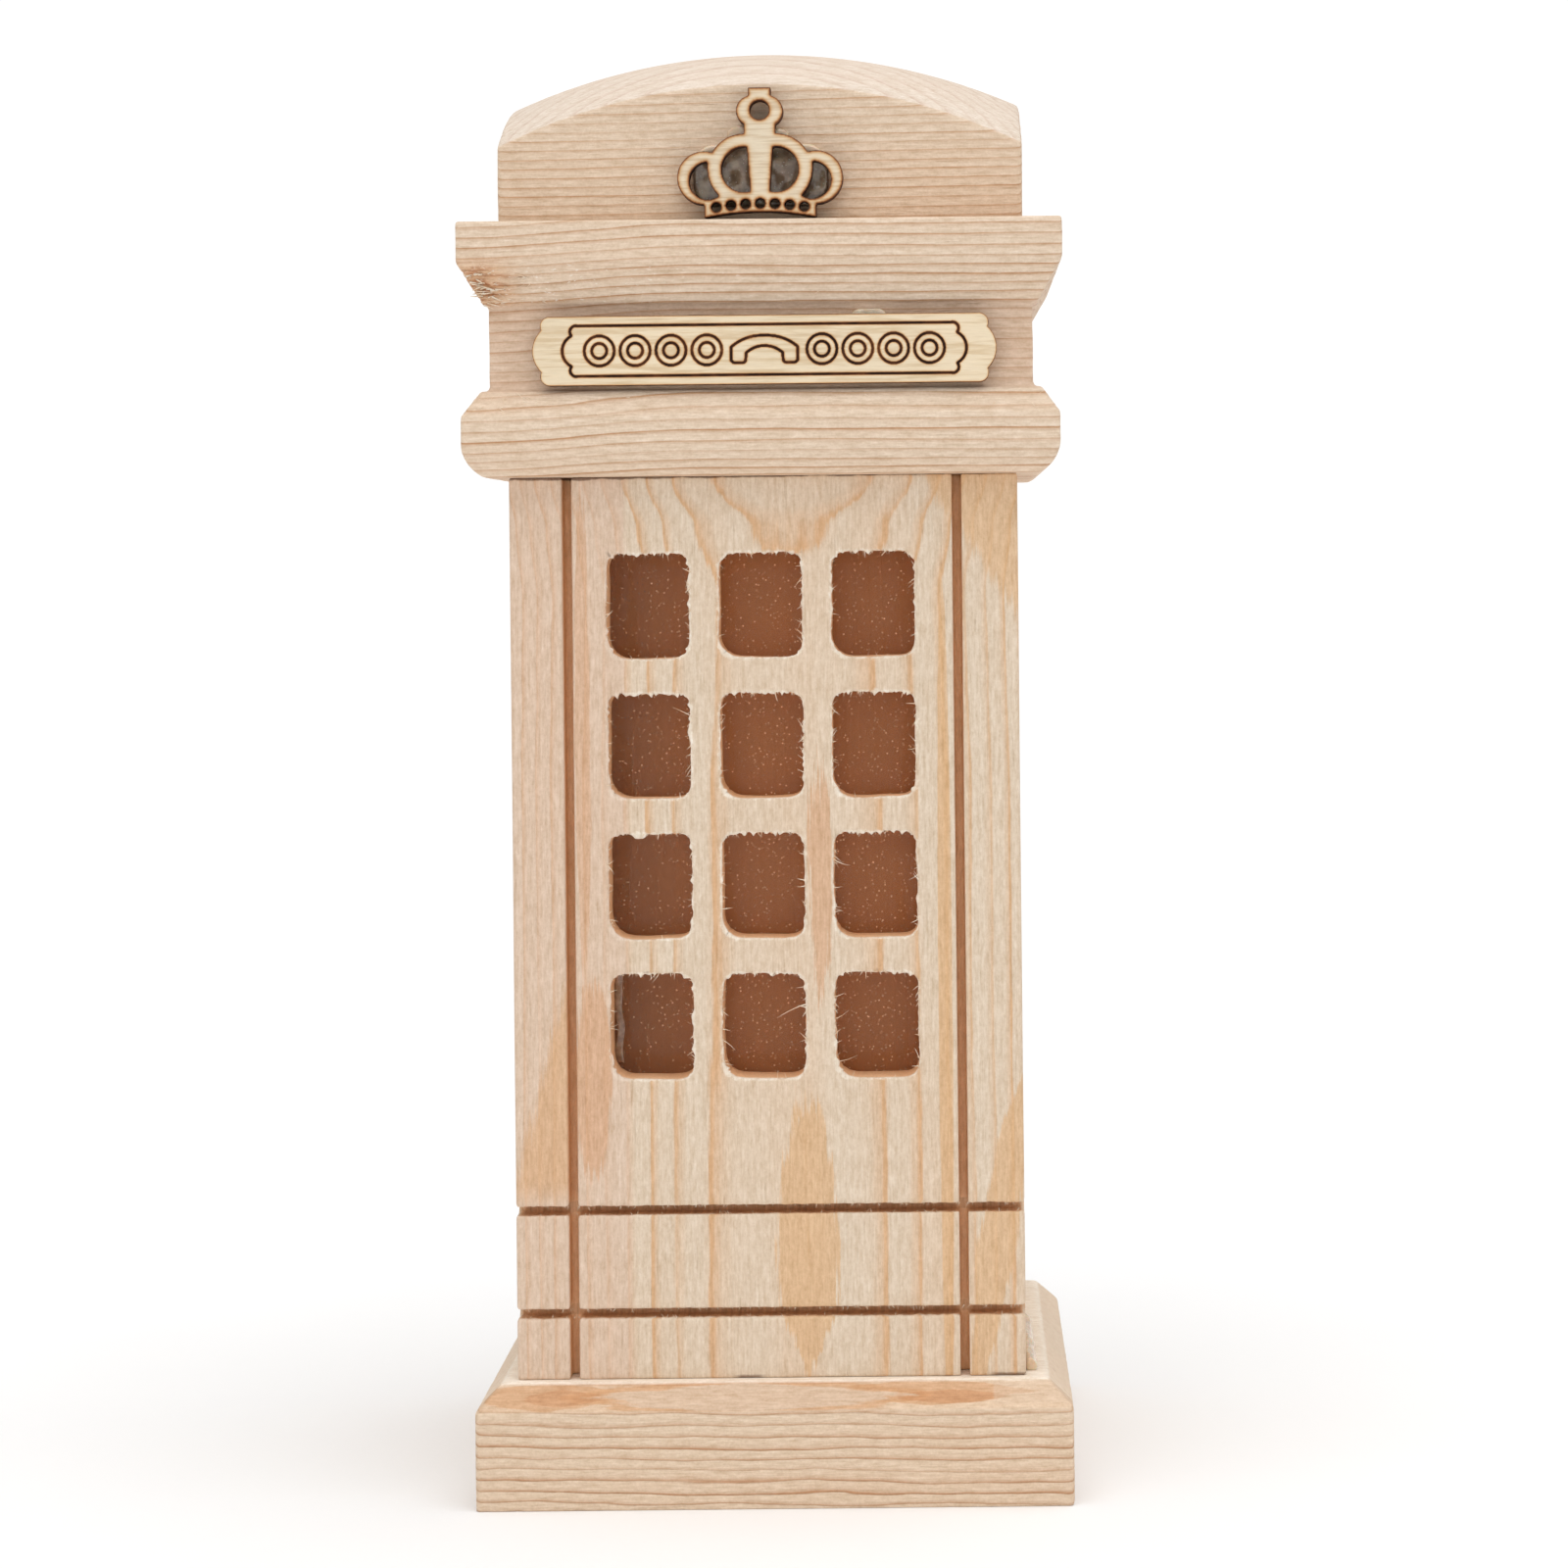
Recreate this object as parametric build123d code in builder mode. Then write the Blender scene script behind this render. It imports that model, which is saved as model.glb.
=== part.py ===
"""Wooden money box in the shape of a small telephone kiosk.

Unfinished pine boards and blocks, glued together: a chamfered base, a hollow column with
twelve windows, a moulded cornice block and a domed roof block. A plywood crown and sign
plate are glued to the front, and a soft plug in the base lets the coins out.

Millimetres. Origin at the bottom centre of the base, +Z up, the front faces -Y.
"""
import os
from math import degrees, sqrt

from build123d import *

# ---- driving dimensions ----------------------------------------------------------------
# base board
BASE_SIZE = 80.0
BASE_SHIFT = 0.5  # the base is glued on a little to the right of the column
BASE_SIDE = 13.2  # height of the upright edge, below the chamfer
BASE_CHAMFER = 3.4
BASE_HEIGHT = BASE_SIDE + BASE_CHAMFER
EDGE_ROUND = 0.5  # sanded corners of the solid pine pieces

# column: front and back boards over the full width, side boards between them
COLUMN_WIDTH = 68.5
COLUMN_DEPTH = 70.4
COLUMN_HEIGHT = 121.5
FRONT_THICK = 9.0
SIDE_THICK = 8.0
BACK_THICK = 8.0

# windows and saw grooves in the front board
WINDOW_WIDTH = 11.3
WINDOW_HEIGHT = 14.3
WINDOW_CORNER = 1.7
WINDOW_PITCH_X = 15.15
WINDOW_PITCH_Z = 18.9
WINDOW_SHIFT_X = -0.5  # the grid stands a little to the left of the middle
WINDOW_TOP_ROW_Z = 120.7  # height of the top row's centre above the ground
WINDOW_COLUMNS = 3
WINDOW_ROWS = 4
GROOVE_WIDTH = 1.25
GROOVE_DEPTH = 4.0
GROOVE_X = (-26.5, 26.05)
GROOVE_Z = (25.45, 39.3)

# clear pane, let into a rebate on the inside of the front board
PANE_THICK = 2.0
PANE_MARGIN = 2.6  # overlap of the pane past the window grid
PANE_PLAY = 0.2
GLUE_DAB_RADIUS = 2.2
GLUE_DAB_HEIGHT = 1.2

# coin slot in the back board
SLOT_LENGTH = 36.0
SLOT_WIDTH = 5.2
SLOT_BELOW_CORNICE = 5.6

# cornice block: half widths and heights of its profile, from its underside up
CORNICE_HEIGHT = 34.2
LOWER_MOULDING_FOOT = 37.2
LOWER_MOULDING_HALF = 40.05
LOWER_MOULDING_ROUND = 4.4  # height of the rounded underside
LOWER_MOULDING_SIDE = 8.1  # height at which the slope to the fascia starts
LOWER_MOULDING_LIP = 37.6
FASCIA_HALF = 36.5
FASCIA_BOTTOM = 11.6
FASCIA_TOP = 23.1
UPPER_MOULDING_FOOT = 37.3
UPPER_MOULDING_HALF = 40.5
UPPER_MOULDING_SIDE = 28.7  # height at which the slope from the fascia ends

# roof block: a square block whose top is part of a sphere
ROOF_SIZE = 70.7
ROOF_CORNER_HEIGHT = 10.3
ROOF_ARCH_HEIGHT = 18.6

# plywood crown
CROWN_THICK = 2.8
CROWN_X = 0.2
CROWN_GAP = 0.5  # thickness of the glue behind the crown
CROWN_LIFT = 0.25

# plywood sign plate
PLATE_THICK = 1.8
PLATE_X = 0.55
PLATE_Z = 154.9
PLATE_HALF_HEIGHT = 4.65
PLATE_STRAIGHT = 28.8
PLATE_NOTCH = 29.9
PLATE_END = 31.1
PLATE_GLUE = 0.3
LOBE_BULGE = 0.42  # how far the small lobes at its ends stand out, along X and Z
BORDER_HALF_HEIGHT = 3.5
BORDER_STRAIGHT = 25.0
BORDER_NOTCH = 26.0
BORDER_END = 27.2
ENGRAVED_LINE = 0.28
ENGRAVED_DEPTH = 0.25

# plug and its bore
BORE_RADIUS = 16.0
PLUG_CLEARANCE = 0.06
PLUG_LENGTH = 13.0
PLUG_WALL = 2.2
PLUG_RIBS = 3
PLUG_RIB_DEPTH = 0.5
PLUG_FLANGE_RADIUS = 18.2
PLUG_FLANGE_THICK = 2.4
GRIP_POCKET_RADIUS = 11.5
GRIP_POCKET_DEPTH = 3.4
GRIP_BAR = 3.2
RECESS_RADIUS = 19.2
RECESS_DEPTH = 3.4

# wire brads through the base into the side boards
BRAD_RADIUS = 0.7
BRAD_HEAD_RADIUS = 1.3
BRAD_HEAD_THICK = 0.6
BRAD_SUNK = 0.4
BRAD_LENGTH = 28.0
BRAD_Y = 18.0

# squeezed-out glue along the foot of the column, on its right side
BEAD_RADIUS = 1.5
BEAD_START_Y = -32.0
BEAD_END_Y = 1.5

# ---- places worked out from the dimensions ---------------------------------------------
FRONT_Y = -COLUMN_DEPTH / 2
INNER_FRONT_Y = FRONT_Y + FRONT_THICK
INNER_BACK_Y = COLUMN_DEPTH / 2 - BACK_THICK
SIDE_LENGTH = INNER_BACK_Y - INNER_FRONT_Y
SIDE_CENTRE_Y = (INNER_BACK_Y + INNER_FRONT_Y) / 2
SIDE_CENTRE_X = (COLUMN_WIDTH - SIDE_THICK) / 2
CORNICE_Z = BASE_HEIGHT + COLUMN_HEIGHT
ROOF_Z = CORNICE_Z + CORNICE_HEIGHT
WINDOW_CENTRE_Z = WINDOW_TOP_ROW_Z - WINDOW_PITCH_Z * (WINDOW_ROWS - 1) / 2
GRID_WIDTH = WINDOW_PITCH_X * (WINDOW_COLUMNS - 1) + WINDOW_WIDTH
GRID_HEIGHT = WINDOW_PITCH_Z * (WINDOW_ROWS - 1) + WINDOW_HEIGHT
PANE_WIDTH = GRID_WIDTH + 2 * PANE_MARGIN
PANE_HEIGHT = GRID_HEIGHT + 2 * PANE_MARGIN
SLOT_Z = CORNICE_Z - SLOT_BELOW_CORNICE
BRAD_X = SIDE_CENTRE_X

FAR = 2 * BASE_SIZE  # longer than any piece, for through cuts

os.makedirs("parts", exist_ok=True)


def facing_front(y, x=0.0, z=0.0):
    """Plane that faces -Y at depth y; its own x runs along +X and its own y along +Z."""
    return Plane(origin=(x, y, z), x_dir=(1, 0, 0), z_dir=(0, -1, 0))


def save(part, name):
    """Label a finished piece and write it to its own STEP file."""
    part.label = name
    export_step(part, f"parts/{name}.step")


# ---- base board ------------------------------------------------------------------------
brad_places = [(x, y) for x in (-BRAD_X, BRAD_X) for y in (-BRAD_Y, BRAD_Y)]

with BuildPart() as base_board:
    with BuildSketch():
        with Locations((BASE_SHIFT, 0)):
            Rectangle(BASE_SIZE, BASE_SIZE)
    extrude(amount=BASE_HEIGHT)
    chamfer(base_board.faces().sort_by(Axis.Z)[-1].edges(), BASE_CHAMFER)
    fillet(base_board.edges().sort_by(Axis.Z)[4:], EDGE_ROUND)
    with BuildSketch():
        with Locations((BASE_SHIFT, 0)):
            Circle(BORE_RADIUS)
    extrude(amount=BASE_HEIGHT, mode=Mode.SUBTRACT)
    with BuildSketch():
        with Locations((BASE_SHIFT, 0)):
            Circle(RECESS_RADIUS)
    extrude(amount=RECESS_DEPTH, mode=Mode.SUBTRACT)
    with BuildSketch():
        with Locations(*brad_places):
            Circle(BRAD_RADIUS)
    extrude(amount=BASE_HEIGHT, mode=Mode.SUBTRACT)
    with BuildSketch():
        with Locations(*brad_places):
            Circle(BRAD_HEAD_RADIUS)
    extrude(amount=BRAD_SUNK + BRAD_HEAD_THICK, mode=Mode.SUBTRACT)
save(base_board.part, "base_board")


# ---- column boards ---------------------------------------------------------------------
with BuildPart() as front_panel:
    with BuildSketch(Plane.XY.offset(BASE_HEIGHT)):
        with Locations((0, FRONT_Y + FRONT_THICK / 2)):
            Rectangle(COLUMN_WIDTH, FRONT_THICK)
    extrude(amount=COLUMN_HEIGHT)
    outer_corners = front_panel.edges().filter_by(Axis.Z).group_by(Axis.Y)[0]
    fillet(outer_corners, EDGE_ROUND)
    # windows, sawn right through
    with BuildSketch(facing_front(FRONT_Y, WINDOW_SHIFT_X, WINDOW_CENTRE_Z)):
        with GridLocations(WINDOW_PITCH_X, WINDOW_PITCH_Z, WINDOW_COLUMNS, WINDOW_ROWS):
            RectangleRounded(WINDOW_WIDTH, WINDOW_HEIGHT, WINDOW_CORNER)
    extrude(amount=-FRONT_THICK, mode=Mode.SUBTRACT)
    # rebate for the pane
    with BuildSketch(facing_front(INNER_FRONT_Y, WINDOW_SHIFT_X, WINDOW_CENTRE_Z)):
        Rectangle(PANE_WIDTH + 2 * PANE_PLAY, PANE_HEIGHT + 2 * PANE_PLAY)
    extrude(amount=PANE_THICK, mode=Mode.SUBTRACT)
    # upright and level saw grooves over the whole face
    with BuildSketch(facing_front(FRONT_Y)):
        with Locations(*[(x, BASE_HEIGHT + COLUMN_HEIGHT / 2) for x in GROOVE_X]):
            Rectangle(GROOVE_WIDTH, COLUMN_HEIGHT)
        with Locations(*[(0, z) for z in GROOVE_Z]):
            Rectangle(COLUMN_WIDTH, GROOVE_WIDTH)
    extrude(amount=-GROOVE_DEPTH, mode=Mode.SUBTRACT)
save(front_panel.part, "front_panel")


def side_board(side):
    """Side board of the column, side -1 left or +1 right, bored from below for its brads."""
    with BuildPart() as board:
        with BuildSketch(Plane.XY.offset(BASE_HEIGHT)):
            with Locations((side * SIDE_CENTRE_X, SIDE_CENTRE_Y)):
                Rectangle(SIDE_THICK, SIDE_LENGTH)
        extrude(amount=COLUMN_HEIGHT)
        with BuildSketch(Plane.XY.offset(BASE_HEIGHT)):
            with Locations((side * BRAD_X, -BRAD_Y), (side * BRAD_X, BRAD_Y)):
                Circle(BRAD_RADIUS)
        extrude(amount=BRAD_SUNK + BRAD_LENGTH - BASE_HEIGHT, mode=Mode.SUBTRACT)
    return board.part


save(side_board(-1), "left_side_panel")
save(side_board(1), "right_side_panel")

with BuildPart() as back_panel:
    with BuildSketch(Plane.XY.offset(BASE_HEIGHT)):
        with Locations((0, INNER_BACK_Y + BACK_THICK / 2)):
            Rectangle(COLUMN_WIDTH, BACK_THICK)
    extrude(amount=COLUMN_HEIGHT)
    outer_corners = back_panel.edges().filter_by(Axis.Z).group_by(Axis.Y)[-1]
    fillet(outer_corners, EDGE_ROUND)
    with BuildSketch(facing_front(INNER_BACK_Y, z=SLOT_Z)):
        SlotOverall(SLOT_LENGTH, SLOT_WIDTH)
    extrude(amount=-BACK_THICK, mode=Mode.SUBTRACT)
save(back_panel.part, "back_panel")


# ---- pane and the dabs of glue that hold it --------------------------------------------
with BuildPart() as window_pane:
    with BuildSketch(facing_front(INNER_FRONT_Y, WINDOW_SHIFT_X, WINDOW_CENTRE_Z)):
        Rectangle(PANE_WIDTH, PANE_HEIGHT)
    extrude(amount=PANE_THICK)
save(window_pane.part, "window_pane")

dab_sphere_radius = (GLUE_DAB_RADIUS**2 + GLUE_DAB_HEIGHT**2) / (2 * GLUE_DAB_HEIGHT)

with BuildPart() as pane_glue_dabs:
    with Locations(facing_front(INNER_FRONT_Y, WINDOW_SHIFT_X, WINDOW_CENTRE_Z)):
        with GridLocations(PANE_WIDTH, PANE_HEIGHT / 2, 2, 3):
            with Locations((0, 0, dab_sphere_radius - GLUE_DAB_HEIGHT)):
                Sphere(dab_sphere_radius)
    split(bisect_by=Plane.XZ.offset(-INNER_FRONT_Y), keep=Keep.BOTTOM)
save(pane_glue_dabs.part, "pane_glue_dabs")


# ---- cornice block ---------------------------------------------------------------------
side_foot = (LOWER_MOULDING_HALF, CORNICE_Z + LOWER_MOULDING_ROUND)

with BuildSketch() as cornice_section:
    with BuildLine():
        Line((0, CORNICE_Z), (LOWER_MOULDING_FOOT, CORNICE_Z))
        TangentArc(side_foot, (LOWER_MOULDING_FOOT, CORNICE_Z), tangent=(0, -1))
        Polyline(
            side_foot,
            (LOWER_MOULDING_HALF, CORNICE_Z + LOWER_MOULDING_SIDE),
            (LOWER_MOULDING_LIP, CORNICE_Z + FASCIA_BOTTOM),
            (FASCIA_HALF, CORNICE_Z + FASCIA_BOTTOM),
            (FASCIA_HALF, CORNICE_Z + FASCIA_TOP),
            (UPPER_MOULDING_FOOT, CORNICE_Z + FASCIA_TOP),
            (UPPER_MOULDING_HALF, CORNICE_Z + UPPER_MOULDING_SIDE),
            (UPPER_MOULDING_HALF, CORNICE_Z + CORNICE_HEIGHT),
            (0, CORNICE_Z + CORNICE_HEIGHT),
        )
        mirror(about=Plane.YZ)
    make_face()

with BuildPart() as cornice_block:
    with BuildSketch(Plane.XZ):
        add(cornice_section.sketch)
    extrude(amount=FAR / 2, both=True)
    with BuildSketch(Plane.YZ):
        add(cornice_section.sketch)
    extrude(amount=FAR / 2, both=True, mode=Mode.INTERSECT)
save(cornice_block.part, "cornice_block")


# ---- roof block ------------------------------------------------------------------------
roof_half = ROOF_SIZE / 2
arch_rise = ROOF_ARCH_HEIGHT - ROOF_CORNER_HEIGHT
arch_radius = (roof_half**2 + arch_rise**2) / (2 * arch_rise)
dome_radius = sqrt(arch_radius**2 + roof_half**2)
dome_centre_z = ROOF_Z + ROOF_ARCH_HEIGHT - arch_radius

with BuildPart() as roof_block:
    with BuildSketch(Plane.XY.offset(ROOF_Z)):
        RectangleRounded(ROOF_SIZE, ROOF_SIZE, EDGE_ROUND)
    extrude(amount=ROOF_SIZE)
    with Locations((0, 0, dome_centre_z)):
        Sphere(dome_radius, mode=Mode.INTERSECT)
save(roof_block.part, "roof_block")


# ---- crown and its glue ----------------------------------------------------------------
crown_back_y = -roof_half - CROWN_GAP
crown_z = ROOF_Z + CROWN_LIFT

BAND_HALF = 7.5
BAND_HEIGHT = 1.8
BAND_ARCH = 0.8  # rise of the band's hollow underside
LOBE_SIDE = (11.1, 5.3)
LOBE_NOTCH = (6.4, 8.75)
SHOULDER_SIDE = (4.3, 10.75)
NECK_HALF = 2.1
NECK_BOTTOM = 11.25
BOSS_CENTRE = 14.4
BOSS_HALF_WIDTH = 3.15
BOSS_HALF_HEIGHT = 1.9  # from its centre to the neck and to the tab
BOSS_HOLE_RADIUS = 1.3
TAB_HALF = 1.5
TAB_TOP = 17.4
WINDOW_STRAIGHT = ((1.3, 3.5), (1.75, 9.5))
WINDOW_BELLY = (5.1, 7.0)
CRESCENT_TIPS = ((7.0, 7.5), (5.5, 2.9))
CRESCENT_BACK = (9.5, 4.9)
CRESCENT_HOLLOW = (6.8, 5.0)
BAND_HOLES = 7
BAND_HOLE_RADIUS = 0.67
BAND_HOLE_PITCH = 1.97
BAND_HOLE_HEIGHT = 1.88

band_arch_radius = (BAND_HALF**2 + BAND_ARCH**2) / (2 * BAND_ARCH)
neck_top = BOSS_CENTRE - BOSS_HALF_HEIGHT
tab_bottom = BOSS_CENTRE + BOSS_HALF_HEIGHT
boss_side = (BOSS_HALF_WIDTH, BOSS_CENTRE)
band_hole_arc = band_arch_radius + BAND_HOLE_HEIGHT - BAND_ARCH
band_hole_step = degrees(BAND_HOLE_PITCH / band_hole_arc)


with BuildSketch() as crown_openings:
    # a large D-shaped opening on each side of the middle
    with BuildLine():
        Line(*WINDOW_STRAIGHT)
        ThreePointArc(WINDOW_STRAIGHT[1], WINDOW_BELLY, WINDOW_STRAIGHT[0])
    make_face()
    # a crescent in each lobe
    with BuildLine():
        ThreePointArc(CRESCENT_TIPS[0], CRESCENT_BACK, CRESCENT_TIPS[1])
        ThreePointArc(CRESCENT_TIPS[1], CRESCENT_HOLLOW, CRESCENT_TIPS[0])
    make_face()
    mirror(about=Plane.YZ)
    # hole in the boss
    with Locations((0, BOSS_CENTRE)):
        Circle(BOSS_HOLE_RADIUS)
    # row of small holes, which follows the band's hollow underside
    with Locations((0, BAND_ARCH - band_arch_radius)):
        with PolarLocations(
            band_hole_arc,
            BAND_HOLES,
            start_angle=90 - band_hole_step * (BAND_HOLES - 1) / 2,
            angular_range=band_hole_step * (BAND_HOLES - 1),
            endpoint=True,
        ):
            Circle(BAND_HOLE_RADIUS)

with BuildSketch() as crown_shape:
    # outline, symmetric about its own upright axis
    with BuildLine():
        ThreePointArc((0, BAND_ARCH), (BAND_HALF / 2, BAND_ARCH * 0.75), (BAND_HALF, 0))
        Line((BAND_HALF, 0), (BAND_HALF, BAND_HEIGHT))
        ThreePointArc((BAND_HALF, BAND_HEIGHT), LOBE_SIDE, LOBE_NOTCH)
        ThreePointArc(LOBE_NOTCH, SHOULDER_SIDE, (NECK_HALF, NECK_BOTTOM))
        Line((NECK_HALF, NECK_BOTTOM), (NECK_HALF, neck_top))
        ThreePointArc((NECK_HALF, neck_top), boss_side, (TAB_HALF, tab_bottom))
        Polyline((TAB_HALF, tab_bottom), (TAB_HALF, TAB_TOP), (0, TAB_TOP))
        mirror(about=Plane.YZ)
    make_face()
    add(crown_openings.sketch, mode=Mode.SUBTRACT)

with BuildPart() as crown:
    with BuildSketch(facing_front(crown_back_y, CROWN_X, crown_z)):
        add(crown_shape.sketch)
    extrude(amount=CROWN_THICK)
save(crown.part, "crown")

with BuildPart() as crown_glue:
    with BuildSketch(facing_front(-roof_half, CROWN_X, crown_z)):
        with Locations((0, 5.9)):
            RectangleRounded(18.4, 8.6, 3.2)
        with Locations((-2.7, 11.4)):
            Ellipse(1.9, 1.3)
        with Locations((2.4, 11.2)):
            Ellipse(1.5, 1.1)
    extrude(amount=CROWN_GAP)
save(crown_glue.part, "crown_glue")


# ---- sign plate and its glue -----------------------------------------------------------
def scalloped_shape(half_height, straight, notch, end):
    """Long plate shape whose ends have a large lobe between two small ones."""
    step = half_height * 0.6
    small_lobe = ((straight + notch) / 2 + LOBE_BULGE, (half_height + step) / 2 + LOBE_BULGE)
    with BuildSketch() as shape:
        with BuildLine():
            Line((0, half_height), (straight, half_height))
            ThreePointArc((straight, half_height), small_lobe, (notch, step))
            ThreePointArc((notch, step), (end, 0), (notch, -step))
            ThreePointArc(
                (notch, -step), (small_lobe[0], -small_lobe[1]), (straight, -half_height)
            )
            Line((straight, -half_height), (0, -half_height))
            mirror(about=Plane.YZ)
        make_face()
    return shape.sketch


with BuildSketch() as handset_shape:
    with BuildLine():
        ThreePointArc((0, 2.0), (2.5, 1.65), (4.6, 0.4))
        Polyline((4.6, 0.4), (4.6, -1.5), (4.2, -1.9), (2.7, -1.9), (2.4, -1.6), (2.3, -0.5))
        ThreePointArc((2.3, -0.5), (1.2, 0.15), (0, 0.35))
        mirror(about=Plane.YZ)
    make_face()

DIAL_RING_PLACES = (7.7, 12.5, 17.3, 22.1)
DIAL_RING_RADII = (2.15, 1.15)

plate_back_y = -FASCIA_HALF - PLATE_GLUE
plate_front_y = plate_back_y - PLATE_THICK
border = scalloped_shape(BORDER_HALF_HEIGHT, BORDER_STRAIGHT, BORDER_NOTCH, BORDER_END)

with BuildPart() as name_plate:
    with BuildSketch(facing_front(plate_back_y, PLATE_X, PLATE_Z)):
        add(scalloped_shape(PLATE_HALF_HEIGHT, PLATE_STRAIGHT, PLATE_NOTCH, PLATE_END))
    extrude(amount=PLATE_THICK)
    # engraved border, handset and dial rings
    for engraved_shape in (border, handset_shape.sketch):
        with BuildSketch(facing_front(plate_front_y, PLATE_X, PLATE_Z)):
            add(engraved_shape)
            offset(amount=-ENGRAVED_LINE, mode=Mode.SUBTRACT)
        extrude(amount=-ENGRAVED_DEPTH, mode=Mode.SUBTRACT)
    for ring_radius in DIAL_RING_RADII:
        with BuildSketch(facing_front(plate_front_y, PLATE_X, PLATE_Z)):
            with Locations(*[(side * x, 0) for side in (-1, 1) for x in DIAL_RING_PLACES]):
                Circle(ring_radius)
                Circle(ring_radius - ENGRAVED_LINE, mode=Mode.SUBTRACT)
        extrude(amount=-ENGRAVED_DEPTH, mode=Mode.SUBTRACT)
save(name_plate.part, "name_plate")

with BuildPart() as plate_glue:
    with BuildSketch(facing_front(-FASCIA_HALF, PLATE_X, PLATE_Z)):
        RectangleRounded(52.0, 6.4, 2.0)
        with Locations((14.0, 3.9)):
            SlotOverall(5.4, 3.2)
    extrude(amount=PLATE_GLUE)
save(plate_glue.part, "plate_glue")


# ---- glue bead at the foot of the column -----------------------------------------------
with BuildPart() as column_glue_bead:
    with BuildSketch(facing_front(BEAD_START_Y, COLUMN_WIDTH / 2, BASE_HEIGHT)):
        with BuildLine():
            Polyline((0, BEAD_RADIUS), (0, 0), (BEAD_RADIUS, 0))
            ThreePointArc(
                (0, BEAD_RADIUS), (BEAD_RADIUS * 0.62, BEAD_RADIUS * 0.62), (BEAD_RADIUS, 0)
            )
        make_face()
    extrude(amount=BEAD_START_Y - BEAD_END_Y)
save(column_glue_bead.part, "column_glue_bead")


# ---- brads -----------------------------------------------------------------------------
with BuildPart() as base_brads:
    with BuildSketch(Plane.XY.offset(BRAD_SUNK)):
        with Locations(*brad_places):
            Circle(BRAD_HEAD_RADIUS)
    extrude(amount=BRAD_HEAD_THICK)
    with BuildSketch(Plane.XY.offset(BRAD_SUNK)):
        with Locations(*brad_places):
            Circle(BRAD_RADIUS)
    extrude(amount=BRAD_LENGTH)
save(base_brads.part, "base_brads")


# ---- plug ------------------------------------------------------------------------------
flange_bottom = RECESS_DEPTH - PLUG_FLANGE_THICK
plug_radius = BORE_RADIUS - PLUG_CLEARANCE
cup_floor = flange_bottom + GRIP_POCKET_DEPTH + PLUG_WALL
rib_pitch = (PLUG_LENGTH - RECESS_DEPTH) / PLUG_RIBS

# outer wall of the plug, from its flange up: ribs that fill the bore, with necks between
ribbed_wall = []
for rib in range(PLUG_RIBS):
    foot = RECESS_DEPTH + rib * rib_pitch
    ribbed_wall += [
        (plug_radius - PLUG_RIB_DEPTH, foot),
        (plug_radius - PLUG_RIB_DEPTH, foot + rib_pitch * 0.45),
        (plug_radius, foot + rib_pitch * 0.55),
        (plug_radius, foot + rib_pitch * 0.9),
        (plug_radius - PLUG_RIB_DEPTH, foot + rib_pitch),
    ]

with BuildPart() as coin_plug:
    with BuildSketch(Plane.XZ):
        with BuildLine():
            Polyline(
                (0, flange_bottom),
                (PLUG_FLANGE_RADIUS - 0.6, flange_bottom),
                (PLUG_FLANGE_RADIUS, flange_bottom + 0.6),
                (PLUG_FLANGE_RADIUS, RECESS_DEPTH),
                *dict.fromkeys(ribbed_wall),
                (plug_radius - PLUG_WALL, PLUG_LENGTH),
                (plug_radius - PLUG_WALL, cup_floor),
                (0, cup_floor),
                close=True,
            )
        make_face()
    revolve(axis=Axis.Z)
    # two pockets that leave a bar to grip
    with BuildSketch(Plane.XY.offset(flange_bottom)):
        Circle(GRIP_POCKET_RADIUS)
        Rectangle(GRIP_BAR, 2 * GRIP_POCKET_RADIUS, mode=Mode.SUBTRACT)
    extrude(amount=GRIP_POCKET_DEPTH, mode=Mode.SUBTRACT)
    fillet(coin_plug.edges().group_by(Axis.Z)[0].filter_by(GeomType.LINE), 0.5)
coin_plug.part.position += (BASE_SHIFT, 0, 0)
save(coin_plug.part, "coin_plug")
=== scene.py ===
import itertools
import math
import random

import bpy
import numpy as np
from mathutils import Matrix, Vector, kdtree


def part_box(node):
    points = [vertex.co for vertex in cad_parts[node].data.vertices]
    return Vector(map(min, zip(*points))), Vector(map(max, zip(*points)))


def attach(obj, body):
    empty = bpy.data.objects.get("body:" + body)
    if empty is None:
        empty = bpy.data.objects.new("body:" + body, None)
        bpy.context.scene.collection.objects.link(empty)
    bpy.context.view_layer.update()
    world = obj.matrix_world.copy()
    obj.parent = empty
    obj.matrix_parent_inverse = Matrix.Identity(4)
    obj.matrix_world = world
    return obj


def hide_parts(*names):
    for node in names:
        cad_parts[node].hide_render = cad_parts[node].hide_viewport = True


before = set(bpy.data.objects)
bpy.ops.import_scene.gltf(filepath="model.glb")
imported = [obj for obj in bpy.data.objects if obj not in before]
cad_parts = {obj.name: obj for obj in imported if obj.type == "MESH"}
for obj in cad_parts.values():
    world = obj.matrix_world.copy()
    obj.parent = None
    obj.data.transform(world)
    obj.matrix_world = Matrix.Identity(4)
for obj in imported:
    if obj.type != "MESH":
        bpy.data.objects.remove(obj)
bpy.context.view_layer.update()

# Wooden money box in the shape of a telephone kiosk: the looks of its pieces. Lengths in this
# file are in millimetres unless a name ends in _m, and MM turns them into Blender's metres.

MM = 0.001
X, Y, Z = 0, 1, 2
random.seed(7)


def corners(node):
    """Lowest and highest corner of a CAD node, in millimetres."""
    low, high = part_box(node)
    return np.array(low) / MM, np.array(high) / MM


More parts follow.
